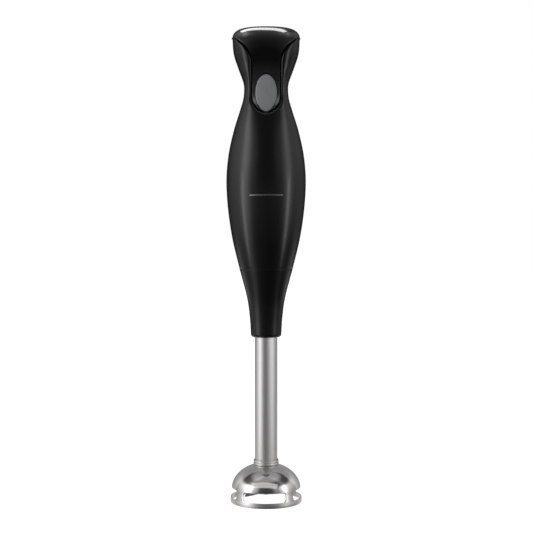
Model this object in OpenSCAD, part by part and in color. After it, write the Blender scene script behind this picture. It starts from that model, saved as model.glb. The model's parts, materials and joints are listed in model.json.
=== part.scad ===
// Immersion blender: a mains hand blender with a screw-off steel leg.
// +Z is up, the guard's rim stands on Z = 0, the button faces -Y. All sizes are in millimetres.

/* [Overall] */
// Height of the collar's lower end above the guard's rim
leg_h = 131; // [109:1:158]
// Length of the black handle, collar included
handle_h = 244; // [203:1:293]
// Length of the collar, from its lower end to the seam
collar_h = 54.4; // [45.2:0.2:65.4]
// Height of the domed crown on the head
crown_h = 5.5; // [4:0.1:7]
// Reach of the crown's rounded edge, from its rim inwards
crown_round = 10.5; // [8:0.5:13]

/* [Handle widths] */
// Diameter of the collar's lower end
nose_d = 24.2; // [23.6:0.1:29]
// Diameter at the seam between collar and housing
seam_d = 42.4; // [38:0.1:51]
// Width across the belly
belly_w = 63.6; // [54:0.2:76]
// Width across the waist
waist_w = 35.2; // [33:0.1:42]
// Width across the head
head_w = 54; // [48:0.2:64]

/* [Handle depths] */
// Depth from the axis to the front and to the back of the belly
belly_d = 31; // [27:0.1:37]
// Depth from the axis to the front of the waist
waist_front = 19.6; // [18.6:0.1:23]
// Depth from the axis to the back of the waist
waist_back = 21.2; // [17.6:0.1:25.5]
// Depth from the axis to the front of the head
head_front = 27.5; // [25:0.1:32]
// Depth from the axis to the back of the head
head_back = 24.5; // [21:0.1:29]
// Wall of the housing
wall = 2.5; // [2:0.1:3]
// Gap where two housing mouldings meet
part_gap = 0.1; // [0.05:0.05:0.2]

/* [Finger channel and button] */
// Half width of the finger channel beside the button
channel_half = 11.4; // [10.6:0.1:12.4]
// Width of the button
button_w = 16.8; // [14:0.1:18]
// Height of the button
button_l = 30.6; // [25.5:0.1:36.8]
// How far the button's face stands out of the channel
button_proud = 1.6; // [1.2:0.1:2.4]
// Travel of the button
button_travel = 1.6; // [1:0.1:2]
// Gap round the button
button_gap = 0.35; // [0.2:0.05:0.6]

/* [Leg] */
// Outer diameter of the steel tube
tube_d = 18; // [15:0.1:21.6]
// Wall of the steel tube
tube_wall = 0.8; // [0.6:0.1:1]
// Diameter of the drive shaft
shaft_d = 5; // [4:0.1:6]
// Outer diameter of the guard's rim
guard_d = 57; // [50:0.5:68]
// Height from the rim to the top of the guard's dome
dome_h = 29.4; // [26:0.2:35]
// Thickness of the guard's sheet steel
guard_wall = 0.9; // [0.7:0.1:1.2]
// Height of the rim band below the windows
rim_h = 4; // [3:0.1:5]
// Height of the windows in the guard
window_h = 7.3; // [6:0.1:8]
// Angle that one window covers, in degrees
window_angle = 75; // [60:1:78]
// Radius that the blade sweeps
blade_r = 20.5; // [17:0.1:22]

/* [Screw joint between leg and housing] */
// Outer diameter of the threaded plug
plug_d = 29; // [27:0.1:31]
// Distance that the leg drops while it is unscrewed
unscrew_drop = 9; // [8.5:0.1:10]
// Drop of the leg in one whole turn
thread_lead = 30; // [24:1:36]
// Gap between the plug and the socket
plug_gap = 0.3; // [0.2:0.05:0.4]

/* [Motor] */
// Diameter of the motor shaft
motor_shaft_d = 6; // [5:0.1:7]
// Diameter of the armature
armature_d = 28; // [24:0.5:31]
// Air gap between armature and stator
air_gap = 0.4; // [0.3:0.1:0.6]
// Room between the stator's corners and the housing
motor_gap = 1.2; // [0.8:0.1:2]
// Running clearance of a shaft in its bush, on the radius
bush_gap = 0.03; // [0.01:0.01:0.05]

/* [Cord inlet] */
// Bore of the cord gland
cord_bore = 7.2; // [6:0.1:8.4]
// Height of the gland below the head's parting line
gland_drop = 15; // [13:0.5:18]

/* [Hidden] */
$fn = 96;
fit_gap = 0.05;

// Levels
z_nose = leg_h;
z_seam = leg_h + collar_h;
z_top = leg_h + handle_h;
z_head = z_top - crown_h;
housing_h = z_head - z_seam;
z_belly = z_seam + 0.3835 * housing_h;
z_waist = z_seam + 0.769 * housing_h;
z_button = z_seam + 0.7495 * housing_h;
seam_gap = 0.3;

// Each station is [level, half width, front depth, back depth, squareness of the front].
function mix(a, b, share) = a + (b - a) * share;
nose_r = nose_d / 2;
seam_r = seam_d / 2;
function collar_station(rise, share) =
    let (r = mix(nose_r, seam_r, share)) [z_nose + rise * collar_h, r, r, r, 2];
function belly_station(rise, share) =
    [z_seam + rise * housing_h,
     mix(seam_r, belly_w / 2, share), mix(seam_r, belly_d, share), mix(seam_r, belly_d, share), 2];
function shoulder_station(rise, width, front, back, square) =
    [z_seam + rise * housing_h,
     mix(waist_w / 2, belly_w / 2, width), mix(waist_front, belly_d, front),
     mix(waist_back, belly_d, back), square];
function head_station(rise, width, front, back, square) =
    [z_seam + rise * housing_h,
     mix(waist_w / 2, head_w / 2, width), mix(waist_front, head_front, front),
     mix(waist_back, head_back, back), square];
stations = [
    collar_station(0, 0),
    collar_station(0.276, 0.1),
    collar_station(0.57, 0.34),
    collar_station(1, 1),
    belly_station(0.134, 0.557),
    belly_station(0.264, 0.887),
    belly_station(0.3835, 1),
    shoulder_station(0.492, 0.887, 0.895, 0.9, 2),
    shoulder_station(0.595, 0.6, 0.63, 0.61, 2.2),
    shoulder_station(0.682, 0.246, 0.3, 0.265, 2.7),
    shoulder_station(0.731, 0.056, 0.105, 0.08, 3.1),
    head_station(0.769, 0, 0, 0, 3.2),
    head_station(0.807, 0.053, -0.03, 0, 3.2),
    head_station(0.867, 0.468, 0.13, 0.24, 3),
    head_station(0.932, 0.883, 0.58, 0.73, 2.6),
    head_station(1, 1, 1, 1, 2.3)
];

// Smooth curve through the rows of a table, by their first column
function row_slope(rows, i, col) =
    let (a = max(i - 1, 0), b = min(i + 1, len(rows) - 1))
    (rows[b][col] - rows[a][col]) / (rows[b][0] - rows[a][0]);
function row_below(rows, z, i = 0) = i >= len(rows) - 2 || rows[i + 1][0] >= z ? i : row_below(rows, z, i + 1);
function curve(rows, z, col) =
    let (i = row_below(rows, z), step = rows[i + 1][0] - rows[i][0], t = (z - rows[i][0]) / step)
    (2 * t ^ 3 - 3 * t ^ 2 + 1) * rows[i][col] + (t ^ 3 - 2 * t ^ 2 + t) * step * row_slope(rows, i, col)
    + (3 * t ^ 2 - 2 * t ^ 3) * rows[i + 1][col] + (t ^ 3 - t ^ 2) * step * row_slope(rows, i + 1, col);
function half_width(z) = curve(stations, z, 1);
function depth(z, back) = curve(stations, z, back ? 3 : 2);
function squareness(z, back) = back ? 2 : curve(stations, z, 4);

// Depth of the outer surface at a distance x from the middle, inset by t
function surface_y(x, z, back, t = 0) =
    let (n = squareness(z, back), part = min(abs(x) / (half_width(z) - t), 1))
    (depth(z, back) - t) * (1 - part ^ n) ^ (1 / n);
// A point on the outline at level z, inset by t, at angle a
function outline_point(z, a, t) =
    let (back = sin(a) > 0, p = 2 / squareness(z, back), c = cos(a), s = sin(a))
    [(half_width(z) - t) * sign(c) * abs(c) ^ p, (depth(z, back) - t) * sign(s) * abs(s) ^ p, z];
function levels(z0, z1, steps) = [for (i = [0:steps]) mix(z0, z1, i / steps)];

// Closed skin over rings that all have the same number of points, each ring convex.
// A folded ring runs out along one line and back along another, and its ends are capped in strips.
module skin(rings, folded = false) {
    n = len(rings[0]);
    last = len(rings) - 1;
    sides = [for (i = [0:last - 1], j = [0:n - 1])
        let (a = i * n + j, b = i * n + (j + 1) % n, c = a + n, d = b + n) each [[a, c, b], [b, c, d]]];
    cap = folded ? [for (j = [0:n / 2 - 2]) [j, j + 1, n - 2 - j, n - 1 - j]] : [[for (j = [0:n - 1]) j]];
    far_cap = [for (f = cap) [for (j = [len(f) - 1:-1:0]) last * n + f[j]]];
    polyhedron(points = [for (r = rings) each r], faces = concat(sides, cap, far_cap));
}

around = 36;
function whole_ring(z, t) = [for (j = [0:around - 1]) outline_point(z, j * 360 / around, t)];
module body_solid(t, z0, z1, steps) {
    skin([for (z = levels(z0, z1, steps)) whole_ring(z, t)]);
}

// Half of the housing's wall, front or back, between the parting plane and the outline
function half_ring(z, back, t_out, t_in) =
    let (half = around / 2, start = back ? 0 : 180, edge = part_gap / 2,
         off = function (p) back ? [p[0], max(p[1], edge), p[2]] : [p[0], min(p[1], -edge), p[2]])
    concat([for (j = [0:half]) off(outline_point(z, start + j * 180 / half, t_out))],
           [for (j = [half:-1:0]) off(outline_point(z, start + j * 180 / half, t_in))]);
function half_disc(z, back, t) =
    [for (j = [0:12]) let (p = outline_point(z, (back ? 0 : 180) + j * 15, t))
        [p[0], back ? max(p[1], part_gap / 2) : min(p[1], -part_gap / 2)]];
module half_shell(back) {
    skin([for (z = levels(z_seam + seam_gap / 2, z_head, 32)) half_ring(z, back, 0, wall)], true);
}

// Finger channel: its outline from the front, and the level floor across its middle
channel_bottom = min(z_seam + 0.664 * housing_h, z_button - button_l / 2 - button_gap - 0.05);
channel_round = z_seam + 0.738 * housing_h;
channel_flare = z_seam + 0.876 * housing_h;
function bezier(p, t) =
    (1 - t) ^ 3 * p[0] + 3 * (1 - t) ^ 2 * t * p[1] + 3 * (1 - t) * t ^ 2 * p[2] + t ^ 3 * p[3];
flare_h = z_head - channel_flare;
flare = [[channel_half, channel_flare], [channel_half, channel_flare + 0.44 * flare_h],
         [mix(channel_half, head_w / 2, 0.42), channel_flare + 0.6 * flare_h],
         [head_w / 2, z_head + 0.5]];
channel_side = concat(
    [for (a = [0:10:90]) [channel_half * sin(a), channel_round - (channel_round - channel_bottom) * cos(a)]],
    [for (i = [0:10]) bezier(flare, i / 10)],
    [[head_w / 2 + 3, z_head + 1], [head_w / 2 + 3, z_head + 12]]);
channel_points = concat(channel_side,
    [for (i = [len(channel_side) - 1:-1:1]) [-channel_side[i][0], channel_side[i][1]]]);
floor_rows = [
    [z_seam + 0.6 * housing_h, depth(z_seam + 0.6 * housing_h, false)],
    [channel_bottom, depth(channel_bottom, false) - 1.1],
    [z_seam + 0.695 * housing_h, mix(waist_front, belly_d, 0.16)],
    [z_seam + 0.731 * housing_h, waist_front - 1.4],
    [z_waist, waist_front - 2.6],
    [z_seam + 0.807 * housing_h, waist_front - 2.9],
    [z_seam + 0.867 * housing_h, waist_front - 1.5],
    [z_seam + 0.925 * housing_h, mix(waist_front, head_front, 0.45)],
    [z_seam + 0.965 * housing_h, head_front + 0.2],
    [z_head + 12, head_front + 6]
];
function floor_y(z) = curve(floor_rows, z, 1);

module front_prism(points, far) {
    rotate([90, 0, 0]) linear_extrude(far) polygon(points);
}
module channel_prism() {
    front_prism(channel_points, belly_d + 20);
}
// Everything between the channel's floor, lowered by t, and the parting plane
module behind_floor(t) {
    rows = levels(channel_bottom - 8, z_head + 3, 26);
    half = head_w;
    translate([-half, 0, 0]) rotate([90, 0, 90]) linear_extrude(2 * half)
        polygon(concat([for (z = rows) [-(floor_y(z) - t), z]],
                       [[-part_gap / 2, rows[26]], [-part_gap / 2, rows[0]]]));
}

// Housing screws, along Y: [x, level]
boss_r = 4.2;
boss_points = [
    for (x = [-1, 1]) [x * 13, z_seam + 0.64 * housing_h],
    for (x = [-1, 1]) [x * (head_w / 2 - 10), z_seam + 0.93 * housing_h],
    for (x = [-1, 1]) [x * (seam_r - 4.9), z_seam + 0.06 * housing_h]
];
front_boss_r = 3;
// How far a boss may reach before any of its rim leaves the middle of the wall
function boss_reach(p, back, r) =
    min([for (dz = [-r, r]) surface_y(abs(p[0]) + r, p[1] + dz, back, wall / 2)]);
screw_r = 1.45;
screw_head_r = 2.7;
screw_seat = 7;
screw_reach = 9;
module along_y(y0, y1, r) {
    translate([0, y0, 0]) rotate([-90, 0, 0]) cylinder(r = r, h = y1 - y0);
}
module at_bosses() {
    for (p = boss_points) translate([p[0], 0, p[1]]) children();
}

module housing_half(back) {
    difference() {
        union() {
            half_shell(back);
            for (p = boss_points) translate([p[0], 0, p[1]]) {
                if (back) along_y(0.3, boss_reach(p, true, boss_r), boss_r);
                else along_y(-boss_reach(p, false, front_boss_r), -0.3, front_boss_r);
            }
            for (z = rib_levels) difference() {
                translate([0, 0, z]) linear_extrude(rib_t) polygon(half_disc(z + rib_t / 2, back, wall * 0.6));
                translate([0, 0, z - 1]) cylinder(r = mount_r + fit_gap, h = rib_t + 2);
            }
            if (back) {
                for (x = clamp_x) translate([x, 0, z_clamp])
                    along_y(clamp_y, surface_y(abs(x) + post_r, z_clamp, true, wall / 2), post_r);
                for (x = board_x) translate([x, 0, z_board_post]) {
                    along_y(board_y + board_t, surface_y(abs(x) + post_r, z_board_post, true, wall / 2), post_r);
                    along_y(board_y + 0.2, board_y + board_t + 1, 1.1);
                }
            }
        }
        children();
    }
}

module front_casing() color("#1b1b1d") housing_half(false) {
    channel_prism();
    at_bosses() along_y(-screw_reach, 1, screw_r + fit_gap);
}

vent_h = 2;
vent_pitch = 4.4;
vents_low = z_seam + 0.13 * housing_h;
vents_high = z_seam + 0.5 * housing_h;
module vent_row(level, widths) {
    for (i = [0:len(widths) - 1])
        translate([-widths[i] / 2, 0, level + i * vent_pitch]) cube([widths[i], belly_d + 5, vent_h]);
}
module rear_casing() color("#1b1b1d") housing_half(true) {
    at_bosses() {
        along_y(-1, belly_d, screw_r + 0.25);
        along_y(screw_seat, belly_d + 5, screw_head_r + 0.4);
    }
    intersection() {
        union() {
            vent_row(vents_low, [18, 20, 22, 20, 18]);
            vent_row(vents_high, [16, 18, 20, 18, 16]);
        }
        translate([-20, 14, z_seam]) cube([40, 40, housing_h]);
    }
    translate([0, 0, z_gland]) along_y(clamp_y + 4, belly_d, gland_r);
    for (x = clamp_x) translate([x, 0, z_clamp]) along_y(clamp_y - 1, clamp_y + 6, 1.3);
}

// Crown over the head, inset by t: a rounded edge and a flat top
module crown(t, below) {
    ring = whole_ring(z_head, t);
    low = z_head + part_gap;
    skin(concat([for (z = below > 0 ? [low - below] : []) [for (p = ring) [p[0], p[1], z]]],
        [for (b = [0:9:90]) let (k = 1 - crown_round / (head_w / 2) * (1 - cos(b)))
            [for (p = ring) [p[0] * k, p[1] * k, low + (z_top - t - low) * sin(b)]]]));
}
module top_cover() color("#141415") {
    difference() {
        union() {
            difference() {
                crown(0, 0);
                crown(wall, 1);
            }
            difference() {
                intersection() {
                    body_solid(0, channel_bottom - 4, z_head + part_gap + 0.2, 14);
                    front_prism(channel_inner, belly_d + 20);
                    behind_floor(0);
                }
                intersection() {
                    body_solid(wall, channel_bottom - 6, z_head + 4, 14);
                    behind_floor(wall);
                }
            }
        }
        translate([0, 0, z_button]) scale_ellipse(button_w / 2 + button_gap, button_l / 2 + button_gap, 60);
    }
}
channel_inner = [for (p = channel_points)
    let (shrink = p[1] > z_head - 1 ? 0 : part_gap)
    [p[0] - sign(p[0]) * shrink, p[1] + (p[1] < channel_round ? part_gap : 0)]];

// An upright elliptical prism that runs forwards from the parting plane
module scale_ellipse(rx, rz, far) {
    front_prism([for (a = [0:7.5:352.5]) [rx * cos(a), rz * sin(a)]], far);
}

accent_half = 13;
accent_h = 1;
accent_z = z_belly - 13.5;
module accent_strip() color("silver") {
    out = 0.35;
    rings = [for (i = [16:-1:0])
        let (x = mix(-accent_half, accent_half, i / 16), y = -surface_y(x, accent_z, false))
        [[x, y - out, accent_z - accent_h / 2], [x, y - out, accent_z + accent_h / 2],
         [x, y + 0.9, accent_z + accent_h / 2], [x, y + 0.9, accent_z - accent_h / 2]]];
    difference() {
        skin(rings);
        body_solid(0, accent_z - 6, accent_z + 6, 4);
    }
}

// Button: an oval cap on a stem that slides in the channel's floor
button_slope = (floor_y(z_button - button_l / 2) - floor_y(z_button + button_l / 2)) / button_l;
function button_face(z) =
    floor_y(z_button) + button_proud + (z_button - z) * button_slope + 0.9 - 0.004 * (z - z_button) ^ 2;
button_back = floor_y(z_seam + 0.807 * housing_h) - wall - button_travel - 1;
stem_end = 4.2;
module button_cap() color("#7e8384") {
    rows = levels(z_button - button_l / 2 - 1, z_button + button_l / 2 + 1, 16);
    difference() {
        union() {
            intersection() {
                translate([0, 0, z_button]) scale_ellipse(button_w / 2, button_l / 2, 60);
                translate([-button_w, 0, 0]) rotate([90, 0, 90]) linear_extrude(2 * button_w)
                    polygon(concat([for (z = rows) [-button_face(z), z]],
                                   [[-button_back, rows[16]], [-button_back, rows[0]]]));
            }
            translate([0, 0, z_button]) along_y(-button_back - 0.5, -stem_end, 2.2);
        }
        button_symbol();
    }
}
module button_symbol() color("#a4a9aa") {
    r = 2.6;
    line = 0.45;
    y = -button_face(z_button);
    translate([0, y, z_button]) rotate([90, 0, 0]) {
        rotate([0, 0, 130]) rotate_extrude(angle = 280) translate([r, -0.6]) square([line, 0.8]);
        translate([-line / 2, 0.4, -0.6]) cube([line, r, 0.8]);
    }
}
// Coil spring along -Y, drawn as a swept wire
module coil(r, wire, length, turns) {
    per_turn = 14;
    steps = turns * per_turn;
    sides = 6;
    skin([for (i = [0:steps]) let (a = 360 * i / per_turn, y = -length * i / steps)
        [for (k = [0:sides - 1]) let (b = 360 * k / sides, q = r + wire * cos(b))
            [q * cos(a), y + wire * sin(b), q * sin(a)]]]);
}
spring_end = 6.5;
spring_wire = 0.3;
module button_spring() color("#b9bbbd") {
    translate([0, -spring_end - spring_wire - fit_gap, z_button])
        coil(3.3, spring_wire, button_back - spring_end - 2 * (spring_wire + fit_gap), 4);
}

// Switch under the button
switch_w = 12.8;
above_button = z_head - z_button;
switch_l = 0.607 * above_button;
module switch_body() color("#2b2e33") {
    difference() {
        union() {
            translate([-switch_w / 2, -3, z_button - switch_l / 2]) cube([switch_w, 12, switch_l]);
            translate([-5, -spring_end, z_button - 5]) cube([10, 5, 10]);
        }
        translate([0, 0, z_button]) along_y(-20, 3.4, 1.7);
        translate([0, 0, z_button]) along_y(-20, -stem_end + button_travel + 0.3, 2.6);
    }
}
module switch_plunger() color("#c9482f") {
    translate([0, 0, z_button]) along_y(-stem_end + 0.2, 0.8, 1.5);
}
module switch_terminals() color("goldenrod") {
    reach = 0.67 * (surface_y(3.2, z_button, true, wall) - 9);
    for (z = [-1, 0, 1]) translate([-3.2, 9, z_button + 0.32 * z * switch_l - 0.4]) cube([6.4, reach, 0.8]);
}

// Interference filter in the head
board_z = z_head - 0.65 * above_button;
board_h = 0.52 * above_button;
board_y = 3;
board_t = 1.6;
board_half = head_w / 2 - 14.6;
z_board_post = board_z + board_h - 3.5;
board_x = [-9.6, 9.6];
post_r = 2.2;
module circuit_board() color("#2f5d3a") {
    difference() {
        translate([-board_half, board_y, board_z]) cube([2 * board_half, board_t, board_h]);
        for (x = board_x) translate([x, 0, z_board_post]) along_y(board_y - 1, board_y + 3, 1.15);
    }
}
module suppressor_capacitor() color("#d8b23c") {
    translate([-8, board_y - 10, board_z + board_h / 3]) cube([16, 10, 0.585 * board_h]);
}
module filter_chokes() color("#8a4a2b") {
    for (x = [-7, 7]) translate([x, board_y - 3, board_z + 1]) cylinder(r = 3, h = board_h / 4);
}

// Cord inlet at the back of the head
z_gland = z_head - gland_drop;
gland_r = cord_bore / 2 + 2.3;
gland_out = surface_y(0, z_gland, true);
flange_r = gland_r + 1.6;
gland_in = min([for (dz = [-flange_r, flange_r]) surface_y(flange_r, z_gland + dz, true, wall)]) - 0.2;
module cord_gland() color("#101011") {
    translate([0, 0, z_gland]) difference() {
        union() {
            along_y(gland_out - 9, gland_out + 2.6, gland_r - fit_gap);
            along_y(gland_in - 1.8, gland_in, flange_r);
            along_y(gland_out + 1.6, gland_out + 3.4, gland_r + 1.2);
        }
        along_y(gland_out - 12, gland_out + 6, cord_bore / 2);
    }
}
clamp_y = 11.5;
clamp_t = 2.5;
z_clamp = max(z_gland - 11, z_button + switch_l / 2 + 2.5);
clamp_x = [-6.5, 6.5];
module cord_clamp() color("#3a3a3d") {
    difference() {
        translate([-9, clamp_y - clamp_t, z_clamp - 3]) cube([18, clamp_t, 6]);
        for (x = clamp_x) translate([x, 0, z_clamp]) along_y(0, clamp_y + 2, 1.3);
    }
}
module clamp_screws() color("#c4c6c8") {
    for (x = clamp_x) translate([x, 0, z_clamp]) {
        along_y(clamp_y - clamp_t, clamp_y + 5.5, 1.25);
        along_y(clamp_y - clamp_t - 1.6, clamp_y - clamp_t, 2.3);
    }
}
module casing_screws() color("#c4c6c8") {
    at_bosses() difference() {
        union() {
            along_y(-screw_reach + 0.8, screw_seat + 0.5, screw_r);
            along_y(screw_seat, screw_seat + 1.9, screw_head_r);
        }
        for (a = [0, 90]) translate([0, screw_seat + 0.9, 0]) rotate([0, a, 0])
            translate([-1.7, 0, -0.35]) cube([3.4, 2, 0.7]);
    }
}

// Motor levels follow the belly
z_motor_low = mix(z_seam, z_belly, 0.2);
z_motor_high = mix(z_belly, z_waist, 0.5);
motor_h = z_motor_high - z_motor_low;
z_stack_low = z_motor_low + 0.385 * motor_h;
z_stack_high = z_motor_low + 0.66 * motor_h;
z_commutator = z_motor_low + 0.8 * motor_h;
z_upper_plate = z_motor_high - 9.66;
z_fan = z_motor_low + 0.14 * motor_h;
lower_plate_z = z_motor_low + 6.44;
mount_r = 12;
rib_t = 3;
bearing_h = 6;
hub_r = 8.8;
bearing_r = 6.2;
rib_levels = [z_motor_low + 1.3, z_motor_high - 4.6];
shaft_r = motor_shaft_d / 2;
stator_r = min(belly_w / 2, belly_d) - wall - motor_gap;
stator_flat = stator_r * 0.8;
armature_r = armature_d / 2;
stack_h = z_stack_high - z_stack_low;
coil_over = 0.075 * motor_h;

module tube(r_out, r_in, h) {
    difference() {
        cylinder(r = r_out, h = h);
        translate([0, 0, -1]) cylinder(r = r_in, h = h + 2);
    }
}
coil_in = armature_r * 0.62;
coil_x = armature_r + 1.4;
coil_t = stator_r - armature_r - 7;
module field_coil_pair(grow) {
    for (side = [0, 180]) rotate([0, 0, side]) difference() {
        translate([coil_x - grow, -coil_in - 4 - grow, z_stack_low - coil_over - grow])
            cube([coil_t + 2 * grow, 2 * coil_in + 8 + 2 * grow, stack_h + 2 * coil_over + 2 * grow]);
        translate([coil_x - grow - 1, -coil_in + grow, z_stack_low - 0.4 + grow])
            cube([coil_t + 2 * grow + 2, 2 * coil_in - 2 * grow, stack_h + 0.8 - 2 * grow]);
    }
}
module stator_core() color("#8b8f94") {
    difference() {
        translate([0, 0, z_stack_low]) linear_extrude(stack_h) difference() {
            intersection() {
                circle(r = stator_r);
                square([2 * stator_r, 2 * stator_flat], center = true);
            }
            circle(r = armature_r + air_gap);
            for (s = [-1, 1]) translate([0, s * (armature_r * 0.9)]) square([2 * coil_in, 4], center = true);
        }
        field_coil_pair(0.2);
        for (p = bolt_points) translate([p[0], p[1], z_stack_low - 1]) cylinder(r = bolt_r + 0.15, h = stack_h + 2);
    }
}
module field_coils() color("#b5622c") field_coil_pair(0);

bolt_r = 1.5;
post_out = 2.6;
bolt_room = min([for (z = [lower_plate_z, z_upper_plate + 5]) min(depth(z, false), depth(z, true))])
    - wall - post_out - 0.8;
bolt_y = min(stator_flat - 2.6, sqrt(bolt_room ^ 2 - 25));
bolt_points = [for (s = [-1, 1]) [s * 5, s * bolt_y]];
fan_r = min(half_width(z_fan) - wall - 2, norm(bolt_points[0]) - post_out - 0.8);
module motor_bolts() color("#c4c6c8") {
    for (p = bolt_points) translate([p[0], p[1], z_motor_low + 0.12 * motor_h]) {
        cylinder(r = bolt_r, h = z_upper_plate + 3 - z_motor_low - 0.12 * motor_h);
        translate([0, 0, z_upper_plate + 3 - z_motor_low - 0.12 * motor_h]) cylinder(r = 2.8, h = 2);
    }
}
module lower_bracket() color("#a9adb1") {
    plate_t = z_motor_low + 0.12 * motor_h - lower_plate_z - 0.01;
    difference() {
        union() {
            translate([0, 0, z_motor_low]) cylinder(r = hub_r, h = lower_plate_z - z_motor_low + plate_t);
            translate([-7.8, -bolt_y - post_out, lower_plate_z]) cube([15.6, 2 * (bolt_y + post_out), plate_t]);
            for (p = bolt_points) translate([p[0], p[1], lower_plate_z])
                cylinder(r = post_out, h = z_stack_low - lower_plate_z);
        }
        translate([0, 0, z_motor_low + 1.2]) cylinder(r = bearing_r, h = motor_h);
        translate([0, 0, z_motor_low - 1]) cylinder(r = shaft_r + 0.6, h = 6);
        for (p = bolt_points) translate([p[0], p[1], lower_plate_z - 1])
            cylinder(r = bolt_r + fit_gap, h = motor_h);
    }
}
module upper_bracket() color("#3b2a22") {
    difference() {
        union() {
            translate([0, 0, z_upper_plate]) linear_extrude(3) intersection() {
                circle(r = min(stator_r - 3.5, bolt_room + post_out));
                square([2 * stator_r, 2 * stator_flat], center = true);
            }
            translate([0, 0, z_upper_plate]) cylinder(r = hub_r, h = z_motor_high - z_upper_plate);
            for (p = bolt_points) translate([p[0], p[1], z_stack_high])
                cylinder(r = 3, h = z_upper_plate - z_stack_high + 1);
            for (s = [-1, 1]) translate([s * holder_mid - 4, -6, z_commutator + brush_h / 2 + 0.7])
                cube([8, 12, z_upper_plate - z_commutator - brush_h / 2]);
        }
        translate([0, 0, z_upper_plate - 1]) cylinder(r = bearing_r, h = z_motor_high - z_upper_plate - 0.2);
        translate([0, 0, z_upper_plate - 2]) cylinder(r = shaft_r + 0.6, h = motor_h);
        for (p = bolt_points) translate([p[0], p[1], z_stack_high - 1])
            cylinder(r = bolt_r + fit_gap, h = motor_h);
    }
}
module bearing(z) {
    translate([0, 0, z]) tube(bearing_r - fit_gap, shaft_r + bush_gap, bearing_h);
}
module lower_bearing() color("#b08d4a") bearing(z_motor_low + 1.2);
module upper_bearing() color("#b08d4a") bearing(z_motor_high - 1.2 - bearing_h);
module motor_mount(z) {
    translate([0, 0, z]) tube(mount_r, hub_r + fit_gap, 5);
}
module lower_motor_mount() color("#26262a") motor_mount(z_motor_low + 0.3);
module upper_motor_mount() color("#26262a") motor_mount(z_motor_high - 5.6);

commutator_r = 9;
brush_h = 5;
brush_w = 7;
holder_mid = commutator_r + 7.2;
module brush_holders() color("#c9a24a") {
    for (side = [0, 180]) rotate([0, 0, side]) difference() {
        translate([commutator_r + 1.2, -brush_w / 2 - 0.7, z_commutator - brush_h / 2 - 0.7])
            cube([12, brush_w + 1.4, brush_h + 1.4]);
        translate([commutator_r, -brush_w / 2 - 0.1, z_commutator - brush_h / 2 - 0.1])
            cube([12.6, brush_w + 0.2, brush_h + 0.2]);
    }
}
module carbon_brushes() color("#2a2a2c") {
    for (side = [0, 180]) rotate([0, 0, side])
        translate([commutator_r + 0.15, -brush_w / 2, z_commutator - brush_h / 2]) cube([7.6, brush_w, brush_h]);
}
module brush_springs() color("#b9bbbd") {
    for (side = [0, 180]) rotate([0, 0, side]) translate([commutator_r + 12.3, 0, z_commutator])
        rotate([0, 0, -90]) coil(1.9, 0.25, 4, 4);
}

module motor_shaft() color("#d0d2d4") {
    translate([0, 0, z_dog_low + 4]) cylinder(r = shaft_r, h = z_motor_high - 1.6 - z_dog_low - 4);
}
module armature_core() color("#7f8388") {
    slots = 12;
    translate([0, 0, z_stack_low]) difference() {
        cylinder(r = armature_r, h = stack_h);
        translate([0, 0, -1]) cylinder(r = shaft_r, h = stack_h + 2);
        for (i = [0:slots - 1]) rotate([0, 0, (i + 0.5) * 360 / slots]) {
            translate([armature_r - 2, -0.8, -1]) cube([3, 1.6, stack_h + 2]);
            translate([armature_r - 4, 0, -1]) cylinder(r = 1.7, h = stack_h + 2);
        }
    }
}
winding_h = 0.085 * motor_h;
module armature_windings() color("#a4521f") {
    for (end = [[z_stack_high, 1], [z_stack_low, -1]]) translate([0, 0, end[0]])
        mirror([0, 0, end[1] < 0 ? 1 : 0]) rotate_extrude() polygon([
            [shaft_r, 0], [armature_r - 2.4, 0], [armature_r - 1.6, winding_h * 0.4],
            [armature_r - 2.6, winding_h * 0.8], [armature_r - 5, winding_h], [shaft_r, winding_h]]);
}
module commutator() color("#c27a3c") {
    bars = 12;
    low = z_stack_high + winding_h + 0.2;
    difference() {
        translate([0, 0, low]) tube(commutator_r, shaft_r, min(z_commutator + 5, z_upper_plate - 0.8) - low);
        for (i = [0:bars - 1]) rotate([0, 0, i * 360 / bars])
            translate([commutator_r - 1, -0.25, low - 1]) cube([2, 0.5, 14]);
    }
}
fan_h = 0.1 * motor_h;
module cooling_fan() color("#e4e0d2") {
    blades = 9;
    translate([0, 0, z_fan + 1]) {
        difference() {
            union() {
                cylinder(r = fan_r, h = 1.4);
                cylinder(r = shaft_r + 3.5, h = fan_h);
                for (i = [0:blades - 1]) rotate([0, 0, i * 360 / blades])
                    translate([shaft_r + 2, -0.6, 1]) rotate([0, 0, 8]) cube([fan_r - shaft_r - 3.5, 1.2, fan_h - 1]);
            }
            translate([0, 0, -1]) cylinder(r = shaft_r, h = fan_h + 2);
        }
    }
}

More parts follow.
